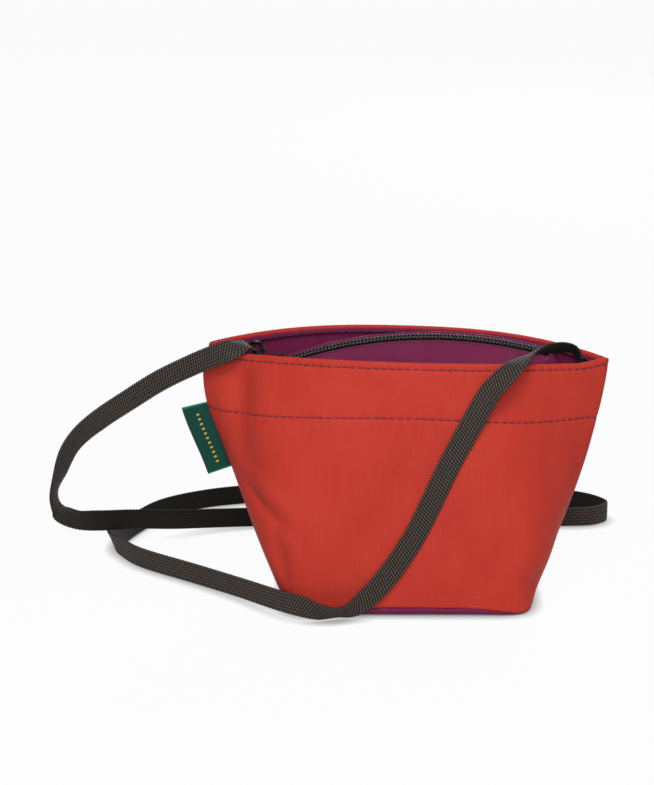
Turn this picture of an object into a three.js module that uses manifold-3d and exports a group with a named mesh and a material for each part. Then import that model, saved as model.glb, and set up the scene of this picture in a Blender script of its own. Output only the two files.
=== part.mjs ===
// A small crossbody bag: a soft boat-shaped pouch with a zip set inside its mouth and a long webbing strap.
// Millimetres, +Z up, +X along the mouth, -Y to the front. The origin is the middle of the base's underside.
import * as THREE from 'three';
import Module from 'manifold-3d';

const wasm = await Module();
wasm.setup();

// Driving dimensions of the pouch
const HEIGHT = 138;
const RIM_WIDTH = 214;
const RIM_DEPTH = 74;
const RIM_CORNER_DROP = 7;
const RIM_TURN_DEG = -6.4;
const RIM_SHIFT = -2.5;
const BASE_WIDTH = 131;
const BASE_DEPTH = 80;
const BASE_LIP = 3.5;
const BASE_CORNER_LIP = 1.7;
const BASE_EDGE_ROUND = 5;
const FLARE = 0.6;
const BELLY = 2.5;
const BASE_CORNER_PLACE = 0.63;
const BASE_CORNER_SPREAD = 0.1;
const LEFT_CORNER_LIFT = 5;
const RIGHT_CORNER_LIFT = 2.5;
const CORNER_LIFT_FADE = 8;
const CORNER_LIFT_START = 0.86;
const LEFT_BULGE = 4.5;
const LEFT_BULGE_RISE = 0.8;
const LEFT_BULGE_SPREAD = 0.17;
const LEFT_CINCH = 3.7;
const LEFT_CINCH_START = 0.93;

// Section shape: a rounded box at the base, a pointed lens at the rim
const BASE_SQUARENESS = 12;
const BASE_SIDE_SQUARENESS = 6;
const FRONT_RIM_SQUARENESS = 2;
const BACK_RIM_SQUARENESS = 2.8;
const SQUARENESS_FADE = 1.5;
const RIM_TIP_MITRE = 1.8;

// Cloth
const CLEARANCE = 0.35;
const FABRIC = 0.9;
const HEM = 2.1;
const HEM_HEIGHT = 2.4;
const HEM_STEP = 0.4;
const FACING = 0.7;
const FACING_HEIGHT = 32;
const STRIP = 0.7;
const BINDING_WIDTH = 9;
const BINDING_THICKNESS = 2.4;
const BINDING_TAPER = 3;
const BINDING_STOP = 4.5;

// Zip: a circular arc that leans back and turns with the rim
const ZIP_ABOVE_RIM = 0.2;
const ZIP_APEX = [17, 6.5, HEIGHT + ZIP_ABOVE_RIM];
const ZIP_RADIUS = 230;
const ZIP_LEAN_DEG = 8;
const ZIP_FACE_DEG = 22;
const ZIP_LEFT_RUN = 97.546452;
const ZIP_RIGHT_RUN = 55.798176;
const TAPE_SLIT = 1.4;
const TAPE_WIDTH = 11;
const TAPE = 0.5;
const CHAIN_WIDTH = 4.8;
const CHAIN_HEIGHT = 1.8;
const TOOTH_PITCH = 2.6;
const TOOTH_REACH = 0.55;
const TOOTH_ROOT = 0.95;
const TOOTH_FLANK = 0.12;
const TOOTH_SHOULDER = 0.8;
const STRIP_SETBACK = 3.2;
const ROOF_FLAT = 4.4;
const ROOF_FLAT_SHARE = 0.2;
const ROOF_LEAD = 6.5;
const ROOF_FOOT = 1.7;
const ROOF_FOLD = 8;
const ROOF_END = 0.9;
const END_TAB_REACH = 0.5;
const END_TAB_RISE = 4;
const END_TAB_MARGIN = 0.12;
const END_TAB_GAP = 1.3;
const STOP_LENGTH = 2.2;
const TOP_STOP_REACH = 2;

// Slider and its pull
const SLIDER_LENGTH = 9.5;
const SLIDER_WIDTH = 7.8;
const SLIDER_WAIST = 6.8;
const SLIDER_PLATE = 0.9;
const SLIDER_SETBACK = 1.2;
const SLIDER_CORNER = 0.7;
const NECK_LENGTH = 1.8;
const NECK_WIDTH = 0.7;
const FLANGE = 0.7;
const FLANGE_DROP = 0.75;
const BAIL_SPAN = 5.6;
const BAIL_WIDTH = 1.1;
const BAIL_BAR = 0.9;
const BAIL_HEADROOM = 1.9;
const PULL_LENGTH = 17;
const PULL_WIDTH = 5;
const PULL_THICKNESS = 1;
const PULL_EYE_LENGTH = 4.4;
const PULL_EYE_WIDTH = 3;
const PULL_ARM = 0.8;
const PULL_TAPER = 0.8;

// Label and strap
const LABEL_LENGTH = 36;
const LABEL_REACH = 13.6;
const LABEL_THICKNESS = 0.8;
const LABEL_RISE = 0.65;
const STRAP_WIDTH = 12;
const STRAP_THICKNESS = 1.4;
const STRAP_STEPS = 84;
const TACK_INNER = 0.885;
const TACK_OUTER = 0.985;
const TACK_LOW = 0.87;
const TACK_HIGH = 0.94;

const COLUMNS = 28;
const LOWER_ROWS = 7;
const FACING_ROWS = 4;
const FRONT = -1;
const BACK = 1;
const SIDES = [['front', FRONT], ['back', BACK]];
const ENDS = [['left', -1], ['right', 1]];
const TINY = 1e-3;
const rad = THREE.MathUtils.degToRad;
const mix = THREE.MathUtils.lerp;
const { smoothstep } = THREE.MathUtils;
const vec = (x, y, z) => new THREE.Vector3(x, y, z);

// Materials
const material = (color, roughness, metalness = 0) =>
  new THREE.MeshStandardMaterial({ color, roughness, metalness });
const RED_FABRIC = material(0xb5352c, 0.75);
const PLUM_FABRIC = material(0x6e2446, 0.78);
const BLACK_WEBBING = material(0x35302d, 0.85);
const BLACK_TAPE = material(0x1b191a, 0.9);
const BLACK_NYLON = material(0x151517, 0.45);
const BLACK_METAL = material(0x222224, 0.4, 0.8);
const GREEN_WEAVE = material(0x1f5a47, 0.8);

const bag = new THREE.Group();
bag.name = 'crossbody_bag';

function addPiece(name, geometry, finish) {
  const mesh = new THREE.Mesh(geometry, finish);
  mesh.name = name;
  bag.add(mesh);
  return mesh;
}

// Signed volume, to turn a solid's faces outwards
function signedVolume(points, faces) {
  let volume = 0;
  const cross = vec(0, 0, 0);
  for (const [a, b, c] of faces) {
    cross.crossVectors(points[b], points[c]);
    volume += points[a].dot(cross) / 6;
  }
  return volume;
}

function solid(points, faces) {
  const outward = signedVolume(points, faces) > 0;
  const index = faces.flatMap(([a, b, c]) => (outward ? [a, b, c] : [a, c, b]));
  const geometry = new THREE.BufferGeometry();
  geometry.setAttribute('position', new THREE.Float32BufferAttribute(points.flatMap((p) => p.toArray()), 3));
  geometry.setIndex(index);
  geometry.computeVertexNormals();
  return geometry;
}

// A solid through closed rings of equal count. Its ends are ladders across flat rings, or fans to a centre.
function loft(rings, fanCentres = null) {
  const count = rings[0].length;
  const points = rings.flat();
  const faces = [];
  for (let r = 0; r + 1 < rings.length; r += 1) {
    for (let k = 0; k < count; k += 1) {
      const next = (k + 1) % count;
      const a = r * count + k;
      const b = r * count + next;
      faces.push([a, b, b + count], [a, b + count, a + count]);
    }
  }
  const last = (rings.length - 1) * count;
  if (fanCentres) {
    points.push(...fanCentres);
    for (let k = 0; k < count; k += 1) {
      const next = (k + 1) % count;
      faces.push([next, k, points.length - 2], [last + k, last + next, points.length - 1]);
    }
  } else {
    for (let k = 0; k + 1 < count / 2; k += 1) {
      const [a, b, c, d] = [k, k + 1, count - 2 - k, count - 1 - k];
      faces.push([b, a, d], [b, d, c], [last + a, last + b, last + c], [last + a, last + c, last + d]);
    }
  }
  return solid(points, faces);
}

const middleOf = (ring) => ring.reduce((sum, p) => sum.add(p), vec(0, 0, 0)).divideScalar(ring.length);

// A thin cloth solid over a grid: place(along, up, face) gives a point, face 0 outside and 1 inside
function sheet(columns, rows, place) {
  const rings = [];
  for (let r = 0; r <= rows; r += 1) {
    const outside = [];
    const inside = [];
    for (let c = 0; c <= columns; c += 1) {
      outside.push(place(c / columns, r / rows, 0));
      inside.unshift(place(c / columns, r / rows, 1));
    }
    rings.push([...outside, ...inside]);
  }
  return loft(rings);
}

// The pouch's outer wall
const squareness = (rise) => Math.max(0, 1 - rise) ** SQUARENESS_FADE;
const halfWidth = (rise) => (BASE_WIDTH + (RIM_WIDTH - BASE_WIDTH) * rise * (1 + FLARE * (1 - rise))) / 2;
const halfDepth = (rise) => mix(BASE_DEPTH, RIM_DEPTH, rise) / 2 + BELLY * 4 * rise * (1 - rise);

// One half of a level section, drawn to the front from the left seam to the right one, set in by inset
class Section extends THREE.Curve {
  constructor(side, rise, inset) {
    super();
    this.arcLengthDivisions = 300;
    const square = squareness(rise);
    this.rise = rise;
    this.width = halfWidth(rise) - inset * mix(RIM_TIP_MITRE, 1, square);
    this.depth = halfDepth(rise) - inset;
    const rimPower = side === BACK ? BACK_RIM_SQUARENESS : FRONT_RIM_SQUARENESS;
    this.frontPower = mix(rimPower, BASE_SQUARENESS, square);
    this.sidePower = 1 / mix(1, 1 / BASE_SIDE_SQUARENESS, square);
  }

  getPoint(t, target = new THREE.Vector3()) {
    const across = 2 * t - 1;
    const along = Math.sign(across) * (1 - (1 - Math.abs(across)) ** this.sidePower);
    const y = -this.depth * (1 - Math.abs(along) ** this.frontPower) ** (1 / this.sidePower);
    const z = this.rise * (HEIGHT - RIM_CORNER_DROP * along * along);
    return target.set(this.width * along, y, z);
  }
}

const sections = new Map();
function section(side, rise, inset) {
  const key = `${side} ${rise.toFixed(6)} ${inset.toFixed(4)}`;
  if (!sections.has(key)) sections.set(key, new Section(side, rise, inset));
  return sections.get(key);
}

// The left seam swells below the rim and is drawn in again at it
function leftBulge(rise) {
  const swell = LEFT_BULGE * Math.exp(-(((rise - LEFT_BULGE_RISE) / LEFT_BULGE_SPREAD) ** 2));
  return swell - LEFT_CINCH * smoothstep(rise, LEFT_CINCH_START, 1);
}

// A point of the wall: across runs from -1 at the left seam to 1 at the right one
function wall(side, across, rise, inset = 0) {
  const level = section(side, rise, inset);
  const p = level.getPointAt(THREE.MathUtils.clamp((across + 1) / 2, 0, 1));
  const along = p.x / level.width;
  const reach = Math.abs(along);
  const corner = (along < 0 ? LEFT_CORNER_LIFT : RIGHT_CORNER_LIFT) * rise ** CORNER_LIFT_FADE;
  p.z += corner * (side === BACK ? reach ** 2 : smoothstep(reach, CORNER_LIFT_START, 1));
  if (along < 0) p.x -= leftBulge(rise) * reach ** 2;
  p.y = side * (CLEARANCE / 2 - p.y);
  p.applyAxisAngle(vec(0, 0, 1), rad(RIM_TURN_DEG) * rise);
  p.x += RIM_SHIFT * rise;
  return p;
}

// Base seam height: the panels dip towards the ground at the four corners
function lipHeight(across) {
  const corner = Math.exp(-(((Math.abs(across) - BASE_CORNER_PLACE) / BASE_CORNER_SPREAD) ** 2));
  return mix(BASE_LIP, BASE_CORNER_LIP, corner);
}

const hemRise = 1 - HEM_HEIGHT / HEIGHT;
const facingRise = 1 - FACING_HEIGHT / HEIGHT;
const facingTop = hemRise - (HEM_STEP + CLEARANCE) / HEIGHT;
const facingInset = FABRIC + CLEARANCE;
const innerInset = facingInset + FACING + CLEARANCE;

// Panels: a wall with a thicker hem along the rim. Above the facing's foot its rows are the facing's own.
function panel(side) {
  const rows = LOWER_ROWS + FACING_ROWS + 3;
  const hemRow = rows - 1;
  const riseOf = (row, foot) => {
    if (row < LOWER_ROWS) return mix(foot, facingRise, row / LOWER_ROWS);
    if (row <= LOWER_ROWS + FACING_ROWS) return mix(facingRise, facingTop, (row - LOWER_ROWS) / FACING_ROWS);
    return [hemRise - HEM_STEP / HEIGHT, hemRise, 1][row - LOWER_ROWS - FACING_ROWS - 1];
  };
  return sheet(COLUMNS, rows, (along, up, face) => {
    const across = 2 * along - 1;
    const row = Math.round(up * rows);
    const foot = (lipHeight(across) + CLEARANCE) / HEIGHT;
    return wall(side, across, riseOf(row, foot), face * (row >= hemRow ? HEM : FABRIC));
  });
}

function facing(side) {
  return sheet(COLUMNS, FACING_ROWS, (along, up, face) =>
    wall(side, 2 * along - 1, mix(facingRise, facingTop, up), facingInset + face * FACING));
}

// Base: a shallow tray whose edge turns up to the panels
function basePanel() {
  const around = [];
  for (const [, side] of SIDES) {
    for (let c = 0; c <= COLUMNS; c += 1) around.push([side, side * (1 - 2 * (c / COLUMNS))]);
  }
  const ring = (share, inset, lift) =>
    around.map(([side, across]) => {
      const height = mix(lift, lipHeight(across), share);
      const p = wall(side, across, height / HEIGHT, inset);
      return p.setZ(height);
    });
  const rings = [
    ring(0, BASE_EDGE_ROUND, 0),
    ring(0.22, BASE_EDGE_ROUND * 0.3, 0),
    ring(0.6, BASE_EDGE_ROUND * 0.06, 0),
    ring(1, 0, 0),
    ring(1, FABRIC, 0),
    ring(0.6, FABRIC + BASE_EDGE_ROUND * 0.08, FABRIC),
    ring(0.22, FABRIC + BASE_EDGE_ROUND * 0.3, FABRIC),
    ring(0, FABRIC + BASE_EDGE_ROUND, FABRIC),
  ];
  return loft(rings, [vec(0, 0, 0), vec(0, 0, FABRIC)]);
}

// A bound seam allowance that stands inwards from a side seam
function seamBinding(end) {
  const rings = [];
  const rows = 8;
  const low = (BASE_LIP + CLEARANCE + FABRIC) / HEIGHT;
  const high = facingRise - BINDING_STOP / HEIGHT;
  for (let r = 0; r <= rows; r += 1) {
    const rise = mix(low, high, r / rows);
    const tip = wall(FRONT, end, rise, facingInset).lerp(wall(BACK, end, rise, facingInset), 0.5);
    const half = BINDING_THICKNESS / 2;
    const outline = [
      [0, -TAPE / 2], [0, TAPE / 2], [BINDING_TAPER, half], [BINDING_WIDTH, half],
      [BINDING_WIDTH, -half], [BINDING_TAPER, -half],
    ];
    rings.push(outline.map(([inwards, y]) => tip.clone().add(vec(-end * inwards, y, 0))));
  }
  return loft(rings, [middleOf(rings[0]), middleOf(rings[rows])]);
}

// Zip frame: tangent, outward and axis directions of the arc, and the tilted face of the chain on it
const turned = (v) => v.applyAxisAngle(vec(0, 0, 1), rad(RIM_TURN_DEG));
const arcSide = turned(vec(1, 0, 0));
const arcTop = turned(vec(0, Math.sin(rad(ZIP_LEAN_DEG)), Math.cos(rad(ZIP_LEAN_DEG))));
const arcAxis = arcSide.clone().cross(arcTop);
const arcCentre = vec(...ZIP_APEX).addScaledVector(arcTop, -ZIP_RADIUS);

function zipFrame(angle) {
  const outward = arcSide.clone().multiplyScalar(Math.sin(angle)).addScaledVector(arcTop, Math.cos(angle));
  const along = arcSide.clone().multiplyScalar(Math.cos(angle)).addScaledVector(arcTop, -Math.sin(angle));
  const tilt = rad(ZIP_FACE_DEG);
  const up = outward.clone().multiplyScalar(Math.cos(tilt)).addScaledVector(arcAxis, Math.sin(tilt));
  const forward = arcAxis.clone().multiplyScalar(Math.cos(tilt)).addScaledVector(outward, -Math.sin(tilt));
  return { origin: arcCentre.clone().addScaledVector(outward, ZIP_RADIUS), along, up, forward };
}

// A point beside the zip's middle line: aside to the front, above the tape
function zipPoint(angle, aside, above) {
  const f = zipFrame(angle);
  return f.origin.addScaledVector(f.forward, aside).addScaledVector(f.up, above);
}

const arcAngle = (length) => length / ZIP_RADIUS;
const zipLeft = -arcAngle(ZIP_LEFT_RUN);
const zipRight = arcAngle(ZIP_RIGHT_RUN);
const chainLift = TAPE + CLEARANCE;
const chainTop = chainLift + CHAIN_HEIGHT;
const stripLift = CLEARANCE;

// The cloth roof on each side of the zip: flat beside it, then over and down to the foot of the facing
function roof(side, along, out) {
  const angle = mix(zipLeft, zipRight, along);
  const outward = zipFrame(angle).forward.multiplyScalar(-side);
  const edge = zipPoint(angle, -side * TAPE_SLIT / 2, TAPE);
  const bend = edge.clone().addScaledVector(outward, ROOF_FLAT);
  if (out <= ROOF_FLAT_SHARE) return edge.lerp(bend, out / ROOF_FLAT_SHARE);
  const lead = bend.clone().addScaledVector(outward, ROOF_LEAD);
  const across = mix(-ROOF_END, ROOF_END, along);
  const footRise = facingRise + ROOF_FOOT / HEIGHT;
  const footInset = innerInset + stripLift + STRIP;
  const foot = wall(side, across, footRise, footInset);
  const over = wall(side, across, footRise + ROOF_FOLD / HEIGHT, footInset);
  const slope = new THREE.CubicBezierCurve3(bend, lead, over, foot);
  return slope.getPoint((out - ROOF_FLAT_SHARE) / (1 - ROOF_FLAT_SHARE));
}

// The roof moved along its own normal
function roofAbove(side, along, out, height) {
  const step = 2 * TINY;
  const grow = (value) => Math.min(1, value + step);
  const shrink = (value) => Math.max(0, value - step);
  const alongStep = roof(side, grow(along), out).sub(roof(side, shrink(along), out));
  const outStep = roof(side, along, grow(out)).sub(roof(side, along, shrink(out)));
  const normal = outStep.cross(alongStep).normalize().multiplyScalar(-side);
  return roof(side, along, out).addScaledVector(normal, height);
}

// Share of the roof's run that lies within a distance of its start
function roofShare(side, along, distance) {
  const start = roof(side, along, 0);
  let low = 0;
  let high = 1;
  while (high - low > TINY) {
    const share = (low + high) / 2;
    if (roof(side, along, share).distanceTo(start) < distance) low = share;
    else high = share;
  }
  return high;
}

function zipStrip(side) {
  return sheet(COLUMNS, 8, (along, out, face) => {
    const first = roofShare(side, along, STRIP_SETBACK - TAPE_SLIT / 2);
    return roofAbove(side, along, mix(first, 1, out), stripLift + face * STRIP);
  });
}

function zipTape(side) {
  return sheet(COLUMNS, 3, (along, out, face) =>
    roofAbove(side, along, out * roofShare(side, along, TAPE_WIDTH), -face * TAPE));
}

// One row of teeth: a rack whose teeth stand between the other row's teeth
const sliderAngle = zipLeft + arcAngle(SLIDER_SETBACK + STOP_LENGTH + NECK_LENGTH + SLIDER_LENGTH / 2);
const neckAngle = sliderAngle - arcAngle(SLIDER_LENGTH / 2 - NECK_LENGTH);
const rowStart = neckAngle + arcAngle(CLEARANCE);
const rowEnd = zipRight - arcAngle(STOP_LENGTH + 2 * CLEARANCE);
const teeth = Math.floor((rowEnd - rowStart) * ZIP_RADIUS / TOOTH_PITCH - 0.5);

function toothRow(side) {
  const tooth = TOOTH_PITCH / 2 - CLEARANCE;
  const reach = side * TOOTH_REACH;
  const root = -side * (TOOTH_ROOT - TOOTH_REACH / 2);
  const back = -side * CHAIN_WIDTH / 2;
  const offset = side === BACK ? TOOTH_PITCH / 2 : 0;
  const stations = [];
  for (let k = 0; k < teeth; k += 1) {
    const begin = offset + k * TOOTH_PITCH;
    const end = begin + tooth;
    stations.push([begin, root], [begin + TOOTH_FLANK, reach], [end - TOOTH_FLANK, reach], [end, root]);
  }
  const rings = stations.map(([length, inner]) => {
    const angle = rowStart + arcAngle(length);
    return [
      zipPoint(angle, inner, chainLift), zipPoint(angle, inner, chainTop),
      zipPoint(angle, back, chainTop - TOOTH_SHOULDER), zipPoint(angle, back, chainLift),
    ];
  });
  return loft(rings);
}

// A block on the tape between two arc angles
function zipBlock(fromAngle, toAngle, asideA, asideB, low, high) {
  const ring = (angle) => [
    zipPoint(angle, asideA, low), zipPoint(angle, asideB, low),
    zipPoint(angle, asideB, high), zipPoint(angle, asideA, high),
  ];
  return loft([ring(fromAngle), ring(toAngle)]);
}

// Cloth tab from the roof's end to the seam
function endTab(end) {
  const rise = facingRise + END_TAB_RISE / HEIGHT;
  const front = wall(FRONT, end * ROOF_END, rise, innerInset);
  const back = wall(BACK, end * ROOF_END, rise, innerInset);
  return sheet(8, 3, (along, out, face) => {
    const half = 2 * along - 1;
    const side = half <= 0 ? FRONT : BACK;
    const inner = roofAbove(side, end < 0 ? 0 : 1, Math.abs(half) * END_TAB_REACH, -face * TAPE);
    inner.addScaledVector(arcSide, end * END_TAB_GAP);
    const outer = front.clone().lerp(back, mix(END_TAB_MARGIN, 1 - END_TAB_MARGIN, along));
    outer.add(vec(end * CLEARANCE, 0, -face * TAPE));
    return inner.lerp(outer, out);
  });
}

// The strap end doubled and sewn into the corner: a wedge between the two facings
function strapTack(end) {
  const places = [TACK_INNER, (TACK_OUTER + TACK_INNER) / 2, TACK_OUTER];
  const ring = (rise) => [
    ...places.map((place) => wall(FRONT, end * place, rise, innerInset)),
    ...places.toReversed().map((place) => wall(BACK, end * place, rise, innerInset)),
  ];
  return loft([ring(TACK_LOW), ring((TACK_LOW + TACK_HIGH) / 2), ring(TACK_HIGH)]);
}

// Booleans
function toManifold(geometry) {
  const flat = geometry.index ? geometry.toNonIndexed() : geometry;
  const position = flat.getAttribute('position');
  const seen = new Map();
  const vertProperties = [];
  const triVerts = [];
  for (let i = 0; i < position.count; i += 1) {
    const p = [position.getX(i), position.getY(i), position.getZ(i)];
    const key = p.map((value) => Math.round(value / TINY)).join(' ');
    if (!seen.has(key)) {
      seen.set(key, seen.size);
      vertProperties.push(...p);
    }
    triVerts.push(seen.get(key));
  }
  return new wasm.Manifold(new wasm.Mesh({
    numProp: 3, vertProperties: new Float32Array(vertProperties), triVerts: new Uint32Array(triVerts),
  }));
}

function fromManifold(body) {
  const mesh = body.getMesh();
  const geometry = new THREE.BufferGeometry();
  geometry.setAttribute('position', new THREE.BufferAttribute(new Float32Array(mesh.vertProperties), 3));
  geometry.setIndex(new THREE.BufferAttribute(new Uint32Array(mesh.triVerts), 1));
  return geometry;
}

function box(from, to) {
  const size = to.map((value, k) => value - from[k]);
  const geometry = new THREE.BoxGeometry(...size);
  geometry.translate(...to.map((value, k) => (value + from[k]) / 2));
  return geometry;
}

// Slider, in its own frame: X along the zip to its closed end, Y to the front, Z up from the tape
const plateTop = chainTop + CLEARANCE + SLIDER_PLATE;
const pivotHeight = plateTop + BAIL_HEADROOM / 2;

function sliderPlan(depth) {
  const nose = SLIDER_LENGTH / 2;
  const wide = SLIDER_WIDTH / 2;
  const waist = SLIDER_WAIST / 2;
  const round = SLIDER_CORNER;
  const plan = new THREE.Shape();
  plan.moveTo(-nose, -waist + round);
  plan.quadraticCurveTo(-nose, -waist, -nose + round, -waist);
  plan.lineTo(-round, -waist);
  plan.quadraticCurveTo(nose / 2, -wide, nose - round, -wide);
  plan.quadraticCurveTo(nose, -wide, nose, -wide + round);
  plan.lineTo(nose, wide - round);
  plan.quadraticCurveTo(nose, wide, nose - round, wide);
  plan.quadraticCurveTo(nose / 2, wide, -round, waist);
  plan.lineTo(-nose + round, waist);
  plan.quadraticCurveTo(-nose, waist, -nose, waist - round);
  plan.closePath();
  return new THREE.ExtrudeGeometry(plan, { depth, bevelEnabled: false, curveSegments: 4 });
}

// Two plates joined by the neck, side flanges under the top plate, and a bail for the pull
function sliderBody() {
  const nose = SLIDER_LENGTH / 2;
  const bite = TINY * 20;
  const plateFoot = plateTop - SLIDER_PLATE;
  const lowTop = -TAPE - CLEARANCE;
  const rimDepth = FLANGE_DROP + CLEARANCE;
  const hollowHalf = SLIDER_WAIST / 2 - FLANGE;
  const bailHalf = BAIL_SPAN / 2;
  const bailTop = plateTop + BAIL_HEADROOM;
  const topPlate = toManifold(sliderPlan(SLIDER_PLATE).translate(0, 0, plateFoot));
  const lowPlate = toManifold(sliderPlan(SLIDER_PLATE).translate(0, 0, lowTop - SLIDER_PLATE));
  const rim = toManifold(sliderPlan(rimDepth).translate(0, 0, plateFoot - rimDepth + bite));
  const hollow = toManifold(box([-SLIDER_LENGTH, -hollowHalf, 0], [SLIDER_LENGTH, hollowHalf, plateTop]));
  const neck = toManifold(box(
    [nose - NECK_LENGTH, -NECK_WIDTH / 2, lowTop - bite],
    [nose, NECK_WIDTH / 2, plateTop - bite],
  ));
  const arch = toManifold(box(
    [-bailHalf, -BAIL_WIDTH / 2, plateTop - bite],
    [bailHalf, BAIL_WIDTH / 2, bailTop + BAIL_BAR],
  ));
  const archHole = toManifold(box(
    [-bailHalf + BAIL_BAR, -BAIL_WIDTH, plateTop],
    [bailHalf - BAIL_BAR, BAIL_WIDTH, bailTop],
  ));
  const plates = topPlate.add(rim.subtract(hollow)).add(neck).add(lowPlate);
  return fromManifold(plates.add(arch.subtract(archHole)));
}

// Pull, in the slider's frame: it lies on the closed side of its pivot bar, which passes under the bail
function sliderPull() {
  const bar = PULL_THICKNESS / 2;
  const half = PULL_WIDTH / 2;
  const eye = PULL_EYE_WIDTH / 2;
  const round = half * PULL_TAPER;
  const outline = new THREE.Shape();
  outline.moveTo(-bar, eye + PULL_ARM);
  outline.lineTo(-bar, -eye - PULL_ARM);
  outline.lineTo(PULL_EYE_LENGTH, -half);
  outline.lineTo(PULL_LENGTH - half, -round);
  outline.quadraticCurveTo(PULL_LENGTH, -round, PULL_LENGTH, 0);
  outline.quadraticCurveTo(PULL_LENGTH, round, PULL_LENGTH - half, round);
  outline.lineTo(PULL_EYE_LENGTH, half);
  outline.closePath();
  const slot = new THREE.Path();
  slot.moveTo(bar, eye);
  slot.lineTo(PULL_EYE_LENGTH, eye);
  slot.lineTo(PULL_EYE_LENGTH, -eye);
  slot.lineTo(bar, -eye);
  slot.closePath();
  outline.holes.push(slot);
  const flat = { depth: PULL_THICKNESS, bevelEnabled: false, curveSegments: 5 };
  return new THREE.ExtrudeGeometry(outline, flat).translate(0, 0, pivotHeight - PULL_THICKNESS / 2);
}

function placeOnZip(mesh, angle) {
  const f = zipFrame(angle);
  const basis = new THREE.Matrix4().makeBasis(f.along.clone().negate(), f.forward, f.up);
  mesh.quaternion.setFromRotationMatrix(basis);
  mesh.position.copy(f.origin);
}

// Label: a flat tab that stands out of the left seam, square to it
function sideLabel() {
  const seam = (rise) => wall(FRONT, -1, rise).lerp(wall(BACK, -1, rise), 0.5);
  const low = LABEL_RISE - LABEL_LENGTH / HEIGHT / 2;
  const high = LABEL_RISE + LABEL_LENGTH / HEIGHT / 2;
  const seamRun = seam(high).sub(seam(low)).normalize();
  const outward = seamRun.clone().cross(vec(0, 1, 0)).normalize();
  const through = outward.clone().cross(seamRun);
  return sheet(6, 3, (along, out, face) =>
    seam(mix(low, high, along))
      .addScaledVector(outward, CLEARANCE + out * LABEL_REACH)
      .addScaledVector(through, (face - 0.5) * LABEL_THICKNESS));
}

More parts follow.
